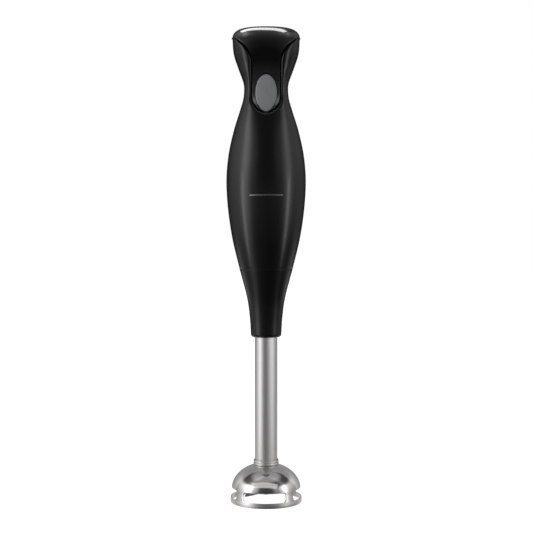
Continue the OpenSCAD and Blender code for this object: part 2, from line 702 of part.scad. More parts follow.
// Screw joint: a plug with three helical ways, which takes the collar's three lugs
plug_r = plug_d / 2;
socket_r = plug_r + plug_gap;
plug_bore = 10.4;
way_depth = 2;
lug_in = socket_r - way_depth + 0.1;
lug_h = 2.4;
lug_angle = 14;
lug_top = z_seam - 1.6;
plug_low = lug_top - unscrew_drop + 0.9;
degrees_per_mm = 360 / thread_lead;
way_slack = 3;
z_dog_low = plug_low + 1.2;
module lock_ring() color("#2e2e32") {
    way_top = lug_top + 0.35;
    way_h = way_top - plug_low + 1;
    way_angle = lug_angle + degrees_per_mm * lug_h + 2 * way_slack;
    difference() {
        union() {
            translate([0, 0, plug_low]) cylinder(r = plug_r, h = z_seam + 2 - plug_low);
            translate([0, 0, z_seam + 0.3]) cylinder(r = seam_r - wall - 0.15, h = 3.4);
        }
        translate([0, 0, plug_low - 1]) cylinder(r = plug_bore, h = 40);
        for (i = [0:2]) translate([0, 0, plug_low - 1])
            rotate([0, 0, i * 120 - degrees_per_mm * (lug_top - lug_h / 2 - plug_low + 1)])
                linear_extrude(way_h, twist = -degrees_per_mm * way_h, slices = 12, segments = 1, convexity = 4)
                    way_sector(way_angle);
    }
}
module way_sector(angle) {
    polygon(concat(
        [for (i = [0:4]) (plug_r - way_depth) * [cos(angle * (i / 4 - 0.5)), sin(angle * (i / 4 - 0.5))]],
        [for (i = [4:-1:0]) (plug_r + 2) * [cos(angle * (i / 4 - 0.5)), sin(angle * (i / 4 - 0.5))]]));
}
module drive_dog() color("#d8d8d8") {
    difference() {
        translate([0, 0, z_dog_low]) cylinder(r = 4.6, h = z_seam + 4 - z_dog_low, $fn = 6);
        translate([0, 0, z_dog_low + 4]) cylinder(r = shaft_r, h = 40);
    }
}

// Leg
tube_r = tube_d / 2;
bore_r = tube_r - tube_wall;
tube_top = z_nose + 0.35 * collar_h;
socket_low = plug_low - 1.6;
collar_top = z_seam - seam_gap / 2;
nose_round = 2.4;
module leg_collar() color("#1b1b1d") {
    steps = 22;
    difference() {
        rotate_extrude() polygon(concat(
            [[tube_r - 1, z_nose]],
            [for (a = [0:15:90]) [half_width(z_nose + nose_round) - nose_round + nose_round * sin(a),
                                  z_nose + nose_round - nose_round * cos(a)]],
            [for (i = [1:steps]) let (z = mix(z_nose + nose_round, collar_top, i / steps)) [half_width(z), z]],
            [[tube_r - 1, collar_top]]));
        translate([0, 0, z_nose - 1]) cylinder(r = tube_r + fit_gap, h = tube_top - z_nose + 1.2);
        translate([0, 0, z_nose]) cylinder(r = coupling_r + 1, h = collar_h);
        translate([0, 0, socket_low]) cylinder(r = socket_r, h = collar_h);
    }
    for (i = [0:2]) rotate([0, 0, i * 120 - lug_angle / 2]) translate([0, 0, lug_top - lug_h])
        rotate_extrude(angle = lug_angle) translate([lug_in, 0]) square([socket_r - lug_in + 0.8, lug_h]);
}
module leg_tube() color("#c3c5c7") {
    translate([0, 0, dome_h + 0.1]) tube(tube_r, bore_r, tube_top - dome_h - 0.1);
}
sleeve_h = 4.1;
module tube_sleeve() color("#cfd1d2") {
    low = dome_h + 0.02;
    rotate_extrude() polygon([
        [tube_r + fit_gap, low], [tube_r + 0.8, low], [tube_r + 1.1, low + 0.4], [tube_r + 1, low + 1.7],
        [tube_r + 1.15, low + 2.4], [tube_r + 1.1, low + 3.4], [tube_r + 0.7, low + sleeve_h],
        [tube_r + fit_gap, low + sleeve_h]]);
}

// Bell guard: an elliptical dome on an upright rim, with four windows
guard_r = guard_d / 2;
window_top = rim_h + window_h;
skirt_top = 10;
skirt_r = guard_r - 0.9;
neck_r = bore_r - fit_gap;
function dome_r(z, t) = (skirt_r - t) * sqrt(max(0, 1 - ((z - skirt_top) / (dome_rise - t)) ^ 2));
dome_rise = (dome_h - skirt_top) / sqrt(1 - (tube_r / skirt_r) ^ 2);
function dome_level(r, t) = skirt_top + (dome_rise - t) * sqrt(1 - (r / (skirt_r - t)) ^ 2);
module guard_shell() {
    steps = 14;
    outer_angle = acos((tube_r + 0.1) / skirt_r);
    inner_angle = acos((neck_r - guard_wall) / (skirt_r - guard_wall));
    rotate_extrude() polygon(concat(
        [[guard_r, 0], [guard_r, rim_h * 0.5]],
        [for (i = [0:steps]) let (a = outer_angle * i / steps)
            [skirt_r * cos(a), skirt_top + dome_rise * sin(a)]],
        [[neck_r, dome_h], [neck_r, neck_top], [neck_r - guard_wall, neck_top]],
        [for (i = [steps:-1:0]) let (a = inner_angle * i / steps)
            [(skirt_r - guard_wall) * cos(a), skirt_top + (dome_rise - guard_wall) * sin(a)]],
        [[guard_r - guard_wall, rim_h * 0.5], [guard_r - guard_wall, 0]]));
}
neck_top = dome_h + 9;
window_round = 2.6;
module window_cut() {
    half = guard_r * sin(window_angle / 2);
    translate([0, -guard_r * 0.75, rim_h]) rotate([90, 0, 0]) linear_extrude(guard_r) {
        translate([-half + window_round, 0]) square([2 * (half - window_round), window_h]);
        translate([-half, window_round]) square([2 * half, window_h - 2 * window_round]);
        for (x = [-1, 1], y = [window_round, window_h - window_round])
            translate([x * (half - window_round), y]) circle(r = window_round);
    }
}
guard_turn = -3.5;
module bell_guard() color("#cfd1d2") {
    difference() {
        guard_shell();
        for (i = [0:3]) rotate([0, 0, guard_turn + i * 90]) window_cut();
    }
}

// Bearings of the leg
blade_shaft_r = shaft_d / 2;
carrier_r = neck_r - guard_wall - fit_gap;
carrier_low = 20;
carrier_top = neck_top + 2;
coupling_r = tube_r - 1;
bush_r = blade_shaft_r + 1.8;
module bearing_carrier() color("#e9e6dc") {
    translate([0, 0, carrier_low]) difference() {
        cylinder(r = carrier_r, h = carrier_top - carrier_low);
        translate([0, 0, 4]) cylinder(r = bush_r + fit_gap, h = 40);
        translate([0, 0, -1]) cylinder(r = seal_r + fit_gap, h = 5.001);
    }
}
seal_r = min(carrier_r - 1, blade_shaft_r + 2.9);
module shaft_seal() color("#5b2f27") {
    translate([0, 0, carrier_low]) difference() {
        cylinder(r = seal_r, h = 3.9);
        translate([0, 0, -1]) cylinder(r = blade_shaft_r + 0.08, h = 6);
        translate([0, 0, -1]) cylinder(r = blade_shaft_r + 1.1, h = 2.6);
    }
}
module lower_bush() color("#b08d4a") {
    translate([0, 0, carrier_low + 4.1]) tube(bush_r, blade_shaft_r + bush_gap, 14);
}
upper_bush_z = tube_top - 12;
module bush_housing() color("#e9e6dc") {
    translate([0, 0, upper_bush_z]) difference() {
        union() {
            cylinder(r = bore_r - fit_gap, h = 12);
            translate([0, 0, 12.1]) cylinder(r = coupling_r + 0.9, h = 2);
            translate([0, 0, 11]) cylinder(r = bore_r - fit_gap, h = 2);
        }
        translate([0, 0, -1]) cylinder(r = bush_r + fit_gap, h = 20);
    }
}
module upper_bush() color("#b08d4a") {
    translate([0, 0, upper_bush_z + 1]) tube(bush_r, blade_shaft_r + bush_gap, 11);
}
// Ring seal in the socket's floor: it drops with the leg, and its round shape hides that it doesn't turn
seal_ring_low = socket_low + 0.15;
module socket_seal() color("#4a4d52") {
    translate([0, 0, seal_ring_low]) tube(socket_r - 0.3, coupling_r + 2, 1.2);
}

// Drive shaft with its coupling and blade
coupling_low = tube_top + 3;
coupling_top = z_seam - 1.6;
module drive_shaft() color("#d0d2d4") {
    translate([0, 0, blade_low - 1.2]) cylinder(r = blade_shaft_r, h = coupling_low + 6 - blade_low + 1.2);
}
module driven_coupling() color("#e4e0d2") {
    difference() {
        translate([0, 0, coupling_low]) cylinder(r = coupling_r, h = coupling_top - coupling_low);
        translate([0, 0, coupling_low - 1]) cylinder(r = blade_shaft_r, h = 7);
        translate([0, 0, z_dog_low - 1]) cylinder(r = 4.95, h = 40, $fn = 6);
    }
}
blade_low = 8;
blade_t = 1.1;
module shaft_spacer() color("#c3c5c7") {
    translate([0, 0, blade_low + blade_t]) tube(4, blade_shaft_r, carrier_low - 0.5 - blade_low - blade_t);
}
blade_turn = 213;
down_tilt = 9;
up_tilt = 24;
module wing(length, tilt) {
    translate([5, 0, 0]) rotate([0, tilt, 0]) linear_extrude(blade_t) polygon([
        [-0.4, -5], [length * 0.35, -5.2], [length * 0.75, -4.2], [length, -1.6],
        [length - 0.3, 1], [length * 0.6, 3.4], [-0.4, 5]]);
}
module blade() color("#b9bbbd") {
    translate([0, 0, blade_low]) rotate([0, 0, blade_turn]) difference() {
        union() {
            cylinder(r = 6.2, h = blade_t);
            wing(blade_r - 5.2, down_tilt);
            rotate([0, 0, 180]) wing(blade_r - 6.4, -up_tilt);
        }
        translate([0, 0, -3]) cylinder(r = blade_shaft_r, h = 8);
    }
}
module blade_nut() color("#cfd1d2") {
    rotate_extrude() polygon([[blade_shaft_r, blade_low - 1.7], [0, blade_low - 1.7], [0, blade_low - 2.9],
        [2.2, blade_low - 2.8], [3.6, blade_low - 2.3], [4.2, blade_low - 1.5], [4.2, blade_low],
        [blade_shaft_r, blade_low]]);
}

front_casing();
rear_casing();
top_cover();
accent_strip();
cord_gland();
cord_clamp();
clamp_screws();
casing_screws();
switch_body();
switch_terminals();
circuit_board();
suppressor_capacitor();
filter_chokes();
stator_core();
field_coils();
upper_bracket();
lower_bracket();
motor_bolts();
upper_bearing();
lower_bearing();
upper_motor_mount();
lower_motor_mount();
brush_holders();
carbon_brushes();
brush_springs();
lock_ring();
button_cap();
button_symbol();
button_spring();
switch_plunger();
motor_shaft();
armature_core();
armature_windings();
commutator();
cooling_fan();
drive_dog();
socket_seal();
leg_collar();
leg_tube();
tube_sleeve();
bell_guard();
bush_housing();
upper_bush();
bearing_carrier();
lower_bush();
shaft_seal();
drive_shaft();
driven_coupling();
shaft_spacer();
blade();
blade_nut();
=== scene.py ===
"""Immersion blender: the outer pieces, their finishes, the studio and the camera."""

import json
from math import atan2, cos, degrees, hypot, pi, radians, sin, sqrt, tau

import bmesh
import bpy
from mathutils import Matrix, Vector


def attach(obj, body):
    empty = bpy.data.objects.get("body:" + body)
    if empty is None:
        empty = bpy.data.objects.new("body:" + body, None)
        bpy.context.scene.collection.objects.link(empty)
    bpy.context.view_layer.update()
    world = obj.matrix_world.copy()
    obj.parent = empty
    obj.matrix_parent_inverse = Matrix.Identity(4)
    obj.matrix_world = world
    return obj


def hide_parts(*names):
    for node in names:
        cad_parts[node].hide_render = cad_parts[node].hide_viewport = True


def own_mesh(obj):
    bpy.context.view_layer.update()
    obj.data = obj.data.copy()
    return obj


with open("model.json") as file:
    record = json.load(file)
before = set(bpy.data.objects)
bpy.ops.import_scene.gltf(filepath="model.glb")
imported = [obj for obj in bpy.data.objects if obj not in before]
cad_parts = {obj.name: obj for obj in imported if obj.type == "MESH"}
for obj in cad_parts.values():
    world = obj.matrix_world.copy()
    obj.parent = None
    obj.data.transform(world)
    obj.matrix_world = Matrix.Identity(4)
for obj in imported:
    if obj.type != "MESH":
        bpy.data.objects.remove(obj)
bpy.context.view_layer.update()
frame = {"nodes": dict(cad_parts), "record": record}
scene = bpy.context.scene

# ---------------------------------------------------------------- camera

camera = bpy.data.objects.new("camera", bpy.data.cameras.new("camera"))
scene.collection.objects.link(camera)
camera.location = (0.0003, -0.8, 0.1874)
camera.rotation_euler = (radians(90), 0, 0)
camera.data.lens = 67.5
camera.data.sensor_width = 36
camera.data.clip_start = 0.01
scene.camera = camera
scene.view_settings.view_transform = "Standard"


# ---------------------------------------------------------------- shader maths

class Wire:
    """A socket in a material; arithmetic on it adds the nodes."""

    def __init__(self, finish, socket):
        self.finish, self.socket = finish, socket

    def maths(self, operation, *values):
        return self.finish.node("Math", {"operation": operation}, dict(enumerate(values)))

    def __add__(self, other):
        return self.maths("ADD", self, other)

    def __sub__(self, other):
        return self.maths("SUBTRACT", self, other)

    def __rsub__(self, other):
        return self.maths("SUBTRACT", other, self)

    def __mul__(self, other):
        return self.maths("MULTIPLY", self, other)

    def __truediv__(self, other):
        return self.maths("DIVIDE", self, other)

    def __pow__(self, other):
        return self.maths("POWER", self, other)

    __radd__, __rmul__ = __add__, __mul__

    def step(self, low, high, to_low=0.0, to_high=1.0):
        """A smooth change from to_low to to_high while this goes from low to high."""
        return self.finish.node("MapRange", {"interpolation_type": "SMOOTHSTEP"}, {
            "Value": self, "From Min": low, "From Max": high, "To Min": to_low, "To Max": to_high})


class Finish:
    """One material, with a Principled shader at its end."""

    def __init__(self, name):
        self.material = bpy.data.materials.new(name)
        self.material.use_nodes = True
        self.tree = self.material.node_tree
        self.shader = self.tree.nodes["Principled BSDF"]

    def node(self, kind, settings, sockets, out=0):
        made = self.tree.nodes.new("ShaderNode" + kind)
        for key, value in settings.items():
            if key == "stops":
                ramp = made.color_ramp.elements
                while len(ramp) < len(value):
                    ramp.new(0.5)
                for stop, (place, colour) in zip(ramp, value):
                    stop.position, stop.color = place, (*colour, 1)
            else:
                setattr(made, key, value)
        for key, value in sockets.items():
            if isinstance(value, Wire):
                self.tree.links.new(value.socket, made.inputs[key])
            else:
                made.inputs[key].default_value = value
        return Wire(self, made.outputs[out])

    def place(self, stretch=(1, 1, 1)):
        """Object coordinates in millimetres, squeezed along each axis."""
        spot = self.node("TexCoord", {}, {}, "Object")
        return self.node("Mapping", {}, {"Vector": spot, "Scale": [1000 * s for s in stretch]})

    def xyz(self):
        parts = self.place()
        return [self.node("SeparateXYZ", {}, {0: parts}, axis) for axis in "XYZ"]

    def noise(self, spot, scale, detail=3.0, rough=0.5):
        return self.node("TexNoise", {}, {
            "Vector": spot, "Scale": scale, "Detail": detail, "Roughness": rough})

    def mix(self, share, first, second):
        colours = {6: first if isinstance(first, Wire) else (*first, 1),
                   7: second if isinstance(second, Wire) else (*second, 1)}
        return self.node("Mix", {"data_type": "RGBA"}, {0: share, **colours}, 2)

    def bump(self, height, distance, strength=1.0):
        """A relief; height 1 stands distance millimetres out."""
        self.set("Normal", self.node("Bump", {}, {
            "Height": height, "Distance": distance / 1000, "Strength": strength}))
        return self

    def set(self, *pairs, **named):
        values = dict(zip(pairs[::2], pairs[1::2]))
        for key, value in values.items():
            if isinstance(value, Wire):
                self.tree.links.new(value.socket, self.shader.inputs[key])
            else:
                self.shader.inputs[key].default_value = value
        return self


def tint(colour, share):
    return tuple(min(1.0, c * share) for c in colour)


def moulded(name, colour, rough, grain=0.004, grain_size=3.0, spread=0.05):
    """Injection-moulded plastic: a fine skin texture, faint flow clouds and handling haze."""
    f = Finish(name)
    fine = f.noise(f.place(), grain_size, 4.0, 0.6)
    cloud = f.noise(f.place((1, 1, 0.45)), 0.07, 3.0)
    scuff = f.noise(f.place((1, 1, 0.12)), 0.9, 6.0, 0.7).step(0.58, 0.74)
    f.set("Base Color", f.mix(cloud, tint(colour, 0.86), tint(colour, 1.14)),
          "Roughness", rough + (cloud - 0.5) * spread * 2 + scuff * spread + fine * 0.02)
    return f.bump(fine, grain, 0.7)


def steel(name, colour, rough, stretch, scale, spread=0.1, relief=0.0015, metal=1.0):
    """Drawn or ground metal: fine lines along the squeezed axis, over slow clouds."""
    f = Finish(name)
    lines = f.noise(f.place(stretch), scale, 5.0, 0.65)
    cloud = f.noise(f.place(), 0.12, 3.0)
    f.set("Metallic", metal,
          "Base Color", f.mix(lines, tint(colour, 0.84), tint(colour, 1.1)),
          "Roughness", rough + (lines - 0.5) * spread * 2 + (cloud - 0.5) * spread)
    return f.bump(lines, relief)


def wound(name, colour, pitch, axis):
    """Enamelled wire laid in turns of the given pitch along an axis, with painted shade darkening the base
    colour in the grooves between turns.
    """
    f = Finish(name)
    spot = f.xyz()[axis]
    turn = f.node("Math", {"operation": "PINGPONG"}, {0: spot, 1: pitch / 2}) / (pitch / 2)
    ridge_and_painted_groove_shade = turn.step(0.0, 0.9)
    shade = f.noise(f.place(), 0.8, 3.0)
    # Painted shade: the base colour falls to a quarter of the copper's in the grooves between turns.
    f.set("Metallic", 0.7, "Base Color", f.mix(ridge_and_painted_groove_shade * (0.6 + shade * 0.6), tint(colour, 0.25), colour),
          "Roughness", 0.42 - ridge_and_painted_groove_shade * 0.14)
    return f.bump(ridge_and_painted_groove_shade, pitch / 3)


# ---------------------------------------------------------------- finishes

def satin_black():
    """Matt in the finger channel, with a polished crown."""
    f = moulded("satin_black_cover", (0.006, 0.006, 0.0064), 0.4, 0.0018, 2.4, 0.04)
    crown = f.xyz()[2].step(365.5, 368.2)
    return f.set("Coat Weight", crown, "Coat Roughness", 0.1, "Specular IOR Level", 0.1)


def drawn_tube():
    """Satin tube: long draw lines down its length, a little stain towards the foot."""
    f = Finish("drawn_tube_steel")
    z = f.xyz()[2]
    lines = f.noise(f.place((1, 1, 0.012)), 3.2, 6.0, 0.7)
    fine = f.noise(f.place((1, 1, 0.05)), 11.0, 3.0, 0.6)
    cloud = f.noise(f.place((1, 1, 0.4)), 0.25, 3.0)
    low = z.step(28.0, 62.0, 1.0, 0.0)
    tone = f.mix(lines * 0.6 + fine * 0.4, (0.78, 0.77, 0.76), (0.96, 0.955, 0.95))
    f.set("Metallic", 1.0, "Base Color", f.mix(low * cloud * 0.4, tone, (0.62, 0.59, 0.56)),
          "Roughness", 0.38 + lines * 0.08 + fine * 0.04 + low * 0.04)
    return f.bump(lines * 0.7 + fine * 0.3, 0.006, 0.5)


def spun_guard():
    """Spun sheet, half polished: rings of fine lines round the axis, with polishing haze."""
    f = Finish("spun_guard_steel")
    x, y, z = f.xyz()
    around = (x * x + y * y) ** 0.5
    rings = f.node("CombineXYZ", {}, {0: around * 2.2, 1: z * 2.2, 2: 0.0})
    lines = f.noise(rings, 1.9, 6.0, 0.72)
    cross = f.noise(f.place((1.0, 1.0, 0.3)), 1.7, 4.0, 0.7)
    haze = f.noise(f.place(), 0.11, 4.0)
    rim = z.step(3.2, 5.2, 1.0, 0.0)
    f.set("Metallic", 1.0,
          "Base Color", f.mix(lines * 0.7 + cross * 0.3, (0.7, 0.69, 0.68), (0.9, 0.89, 0.88)),
          "Roughness", 0.07 + lines * 0.08 + haze * 0.05 + rim * 0.26)
    return f.bump(lines * 0.75 + cross * 0.25, 0.005, 0.5)


def board_green():
    f = Finish("board_green_laminate")
    weave = f.noise(f.place((1, 1, 0.2)), 2.0, 4.0)
    cells = f.node("TexVoronoi", {"feature": "DISTANCE_TO_EDGE"}, {"Vector": f.place(), "Scale": 0.28})
    tracks = cells.step(0.05, 0.09)
    f.set("Base Color", f.mix(tracks, (0.07, 0.17, 0.06), (0.02, 0.085, 0.035)),
          "Roughness", 0.34 + weave * 0.16)
    return f.bump(tracks, 0.03)


def stacked_sheets(name, colour):
    """Laminations half a millimetre thick, with bluish scale on their edges."""
    f = Finish(name)
    z = f.xyz()[2]
    edge = (f.node("Math", {"operation": "PINGPONG"}, {0: z, 1: 0.25}) * 4).step(0.1, 0.5)
    scale = f.noise(f.place(), 0.5, 4.0)
    f.set("Metallic", 0.85, "Base Color", f.mix(edge, tint(colour, 0.3), colour),
          "Roughness", 0.34 + scale * 0.2)
    return f.bump(edge, 0.04)


FINISHES = {
    "black_plastic": moulded("gloss_black_shell", (0.0105, 0.0105, 0.011), 0.22, 0.0012, 1.6, 0.03),
    "cover_plastic": satin_black(),
    "silver_print": steel("accent_silver", (0.42, 0.42, 0.43), 0.34, (0.1, 1, 1), 6.0, 0.08),
    "black_rubber": moulded("gland_rubber", (0.013, 0.013, 0.014), 0.62, 0.02, 4.0),
    "frame_plastic": moulded("glass_filled_nylon", (0.028, 0.028, 0.031), 0.5, 0.015, 6.0, 0.08),
    "screw_steel": steel("zinc_plated_screw", (0.56, 0.57, 0.6), 0.3, (1, 0.2, 1), 3.0),
    "switch_plastic": moulded("switch_moulding", (0.026, 0.031, 0.042), 0.42, 0.006, 4.0),
    "terminal_brass": steel("stamped_brass", (0.72, 0.5, 0.2), 0.3, (1, 0.15, 1), 2.5),
    "board_laminate": board_green(),
    "capacitor_shell": moulded("capacitor_box", (0.6, 0.4, 0.07), 0.38, 0.006, 3.0),
    "copper_wire": wound("enamelled_copper", (0.56, 0.2, 0.07), 0.7, 2),
    "laminated_steel": stacked_sheets("stacked_core_sheets", (0.34, 0.36, 0.4)),
    "bracket_plastic": moulded("phenolic_bracket", (0.06, 0.033, 0.022), 0.45, 0.02, 3.0, 0.09),
    "bracket_metal": steel("cast_bracket", (0.6, 0.61, 0.62), 0.42, (1, 1, 1), 1.4, 0.12, 0.02),
    "sintered_bronze": steel("sintered_bronze_bush", (0.5, 0.33, 0.14), 0.4, (1, 1, 1), 5.0, 0.15, 0.01),
    "mount_rubber": moulded("mount_ring_rubber", (0.02, 0.02, 0.023), 0.7, 0.02, 3.0),
    "carbon": moulded("brush_carbon", (0.03, 0.03, 0.032), 0.55, 0.02, 6.0, 0.1),
    "spring_steel": steel("spring_wire", (0.5, 0.5, 0.52), 0.28, (1, 1, 1), 4.0),
    "button_plastic": moulded("thumb_grey_cap", (0.46, 0.485, 0.485), 0.45, 0.012, 5.5, 0.08),
    "symbol_plastic": moulded("raised_symbol_grey", (0.5, 0.53, 0.53), 0.4, 0.004, 5.0),
    "plunger_plastic": moulded("plunger_red", (0.5, 0.06, 0.03), 0.4, 0.004, 4.0),
    "shaft_steel": steel("ground_shaft", (0.62, 0.63, 0.65), 0.2, (1, 1, 4), 2.0, 0.08),
    "commutator_copper": steel("commutator_copper", (0.62, 0.28, 0.13), 0.25, (1, 1, 6), 1.2, 0.08),
    "nylon": moulded("natural_nylon", (0.7, 0.68, 0.6), 0.45, 0.01, 3.0),
    "seal_rubber": moulded("seal_lip_rubber", (0.035, 0.036, 0.04), 0.6, 0.015, 4.0),
    "tube_steel": drawn_tube(),
    "guard_steel": spun_guard(),
    "blade_steel": steel("ground_blade", (0.58, 0.59, 0.6), 0.26, (0.1, 1, 1), 3.0, 0.1),
}

record = frame["record"]
SLOT_OF = {part["node"]: part["material_slot"] for part in record["subparts"]}
BODY_OF = {node: body for body, nodes in record["behaviour"]["bodies"].items() for node in nodes}
for node, thing in frame["nodes"].items():
    for slot in thing.material_slots:
        slot.material = FINISHES[SLOT_OF[node]].material


# ---------------------------------------------------------------- form of the handle, in millimetres

NOSE, SEAM, HEAD, TOP = 131.0, 185.4, 369.5, 375.0
HOUSING = HEAD - SEAM
WAIST_W, HEAD_W, BELLY_W = 17.6, 27.0, 31.8
WAIST_FRONT, WAIST_BACK, HEAD_FRONT, HEAD_BACK, BELLY_D = 19.6, 21.2, 27.5, 24.5, 31.0
NOSE_R, SEAM_R = 12.1, 21.2
WALL, FIT_GAP = 2.5, 0.05


def mix(a, b, share):
    return a + (b - a) * share


def collar_row(rise, share):
    r = mix(NOSE_R, SEAM_R, share)
    return (NOSE + rise * (SEAM - NOSE), r, r, r, 2.0)


def belly_row(rise, share):
    deep = mix(SEAM_R, BELLY_D, share)
    return (SEAM + rise * HOUSING, mix(SEAM_R, BELLY_W, share), deep, deep, 2.0)


def shoulder_row(rise, wide, front, back, square):
    return (SEAM + rise * HOUSING, mix(WAIST_W, BELLY_W, wide), mix(WAIST_FRONT, BELLY_D, front),
            mix(WAIST_BACK, BELLY_D, back), square)


def head_row(rise, wide, front, back, square):
    return (SEAM + rise * HOUSING, mix(WAIST_W, HEAD_W, wide), mix(WAIST_FRONT, HEAD_FRONT, front),
            mix(WAIST_BACK, HEAD_BACK, back), square)


STATIONS = [
    collar_row(0, 0), collar_row(0.276, 0.1), collar_row(0.57, 0.34), collar_row(1, 1),
    belly_row(0.134, 0.557), belly_row(0.264, 0.887), belly_row(0.3835, 1),
    shoulder_row(0.492, 0.887, 0.895, 0.9, 2.0), shoulder_row(0.595, 0.6, 0.63, 0.61, 2.2),
    shoulder_row(0.682, 0.246, 0.3, 0.265, 2.7), shoulder_row(0.731, 0.056, 0.105, 0.08, 3.1),
    head_row(0.769, 0, 0, 0, 3.2), head_row(0.807, 0.053, -0.03, 0, 3.2),
    head_row(0.867, 0.468, 0.13, 0.24, 3.0), head_row(0.932, 0.883, 0.58, 0.73, 2.6),
    head_row(1, 1, 1, 1, 2.3)]


def curve(rows, z, column):
    """Smooth curve through a table's column."""
    i = 0
    while i < len(rows) - 2 and rows[i + 1][0] < z:
        i += 1

    def slope(k):
        a, b = max(k - 1, 0), min(k + 1, len(rows) - 1)
        return (rows[b][column] - rows[a][column]) / (rows[b][0] - rows[a][0])

    step = rows[i + 1][0] - rows[i][0]
    t = (z - rows[i][0]) / step
    return ((2 * t ** 3 - 3 * t ** 2 + 1) * rows[i][column] + (t ** 3 - 2 * t ** 2 + t) * step * slope(i)
            + (3 * t ** 2 - 2 * t ** 3) * rows[i + 1][column] + (t ** 3 - t ** 2) * step * slope(i + 1))


def half_width(z):
    return curve(STATIONS, z, 1)


def half_depth(z, back):
    return curve(STATIONS, z, 3 if back else 2)


def squareness(z, back):
    return 2.0 if back else curve(STATIONS, z, 4)


def surface_y(x, z, back=False, sink=0.0):
    """Depth of the skin at a distance x from the middle."""
    n = squareness(z, back)
    part = min(abs(x) / (half_width(z) - sink), 1.0)
    return (half_depth(z, back) - sink) * (1 - part ** n) ** (1 / n)


def skin(turn, z, sink=0.0):
    """The point of the skin at a direction in degrees from +X, seen from above."""
    c, s = cos(radians(turn)), sin(radians(turn))
    back = s > 0
    n = squareness(z, back)
    w, d = half_width(z) - sink, half_depth(z, back) - sink
    r = ((abs(c) / w) ** n + (abs(s) / d) ** n) ** (-1 / n)
    return Vector((r * c, r * s, z))


CHANNEL = 11.4
CHANNEL_LOW, CHANNEL_ROUND, FLARE = (SEAM + rise * HOUSING for rise in (0.664, 0.738, 0.876))
LOW_SHARE, FLARE_SHARE = 0.3, 0.62      # shares of the outline where its round end stops and its flare starts
FLOOR = [
    (SEAM + 0.6 * HOUSING, half_depth(SEAM + 0.6 * HOUSING, False)),
    (CHANNEL_LOW, half_depth(CHANNEL_LOW, False) - 1.1),
    (SEAM + 0.695 * HOUSING, mix(WAIST_FRONT, BELLY_D, 0.16)),
    (SEAM + 0.731 * HOUSING, WAIST_FRONT - 1.4), (SEAM + 0.769 * HOUSING, WAIST_FRONT - 2.6),
    (SEAM + 0.807 * HOUSING, WAIST_FRONT - 2.9), (SEAM + 0.867 * HOUSING, WAIST_FRONT - 1.5),
    (SEAM + 0.925 * HOUSING, mix(WAIST_FRONT, HEAD_FRONT, 0.45)), (SEAM + 0.965 * HOUSING, HEAD_FRONT + 0.2),
    (HEAD + 12, HEAD_FRONT + 6)]


def floor_y(z):
    return curve(FLOOR, z, 1)


def channel_edge(share):
    """The channel's outline on the right, from its lowest point (0) to the crown (1)."""
    if share <= LOW_SHARE:
        a = pi / 2 * share / LOW_SHARE
        return CHANNEL * sin(a), CHANNEL_ROUND - (CHANNEL_ROUND - CHANNEL_LOW) * cos(a)
    if share <= FLARE_SHARE:
        return CHANNEL, mix(CHANNEL_ROUND, FLARE, (share - LOW_SHARE) / (FLARE_SHARE - LOW_SHARE))
    t, rise = (share - FLARE_SHARE) / (1 - FLARE_SHARE), HEAD - FLARE
    p = [(CHANNEL, FLARE), (CHANNEL, FLARE + 0.44 * rise),
         (mix(CHANNEL, HEAD_W, 0.42), FLARE + 0.6 * rise), (HEAD_W - 0.45, HEAD)]
    weights = ((1 - t) ** 3, 3 * (1 - t) ** 2 * t, 3 * (1 - t) * t ** 2, t ** 3)
    return tuple(sum(k * q[i] for k, q in zip(weights, p)) for i in (0, 1))


def edge_normal(share):
    """Direction away from the channel, square to its outline."""
    a, b = channel_edge(max(share - 0.004, 0)), channel_edge(min(share + 0.004, 1))
    dx, dz = b[0] - a[0], b[1] - a[1]
    size = hypot(dx, dz)
    return (dz / size, -dx / size) if share > 0 else (0.0, -1.0)


# ---------------------------------------------------------------- making pieces

def sheet(across, along, place):
    """A grid of quads laid where place(u, v) says, u and v from 0 to 1."""
    bm = bmesh.new()
    bmesh.ops.create_grid(bm, x_segments=across, y_segments=along, size=0.5)
    for v in bm.verts:
        v.co = place(round(v.co.x + 0.5, 6), round(v.co.y + 0.5, 6))
    return bm


def add(bm, other):
    """Moves the faces of one mesh under construction into another."""
    spare = bpy.data.meshes.new("spare")
    other.to_mesh(spare)
    other.free()
    bm.from_mesh(spare)
    bpy.data.meshes.remove(spare)
    return bm


def mirrored(bm, distance=0.002):
    bmesh.ops.mirror(bm, geom=bm.verts[:] + bm.edges[:] + bm.faces[:], axis="X", merge_dist=distance)
    return bm


def turned(profile, steps=96, angle=tau, start=0.0, closed=True):
    """A profile of (radius, height) turned round Z."""
    bm = bmesh.new()
    points = [bm.verts.new((r, 0, z)) for r, z in profile]
    pairs = zip(points, points[1:] + points[:1]) if closed else zip(points, points[1:])
    lines = [bm.edges.new(pair) for pair in pairs]
    full = angle >= tau
    bmesh.ops.rotate(bm, verts=points, matrix=Matrix.Rotation(start, 3, "Z"))
    if not full and closed:
        cap = bm.faces.new(points)
        bmesh.ops.spin(bm, geom=[cap] + lines + points, axis=(0, 0, 1), angle=angle, steps=steps)
    else:
        bmesh.ops.spin(bm, geom=points + lines, axis=(0, 0, 1), angle=angle, steps=steps, use_merge=full)
    bmesh.ops.remove_doubles(bm, verts=bm.verts, dist=1e-4)
    bmesh.ops.delete(bm, geom=[e for e in bm.edges if e.is_wire], context="EDGES")
    bmesh.ops.recalc_face_normals(bm, faces=bm.faces)
    return bm


def rounded(profile, radius, steps=3):
    """The profile with each corner listed in radius (index: size) rounded off."""
    out, count = [], len(profile)
    for i, here in enumerate(profile):
        size = radius.get(i, 0)
        if not size:
            out.append(here)
            continue
        p = Vector(here)
        before, after = Vector(profile[i - 1]) - p, Vector(profile[(i + 1) % count]) - p
        a, b = p + before.normalized() * size, p + after.normalized() * size
        for k in range(steps + 1):
            t = k / steps
            out.append(tuple(a * (1 - t) ** 2 + p * 2 * t * (1 - t) + b * t ** 2))
    return out


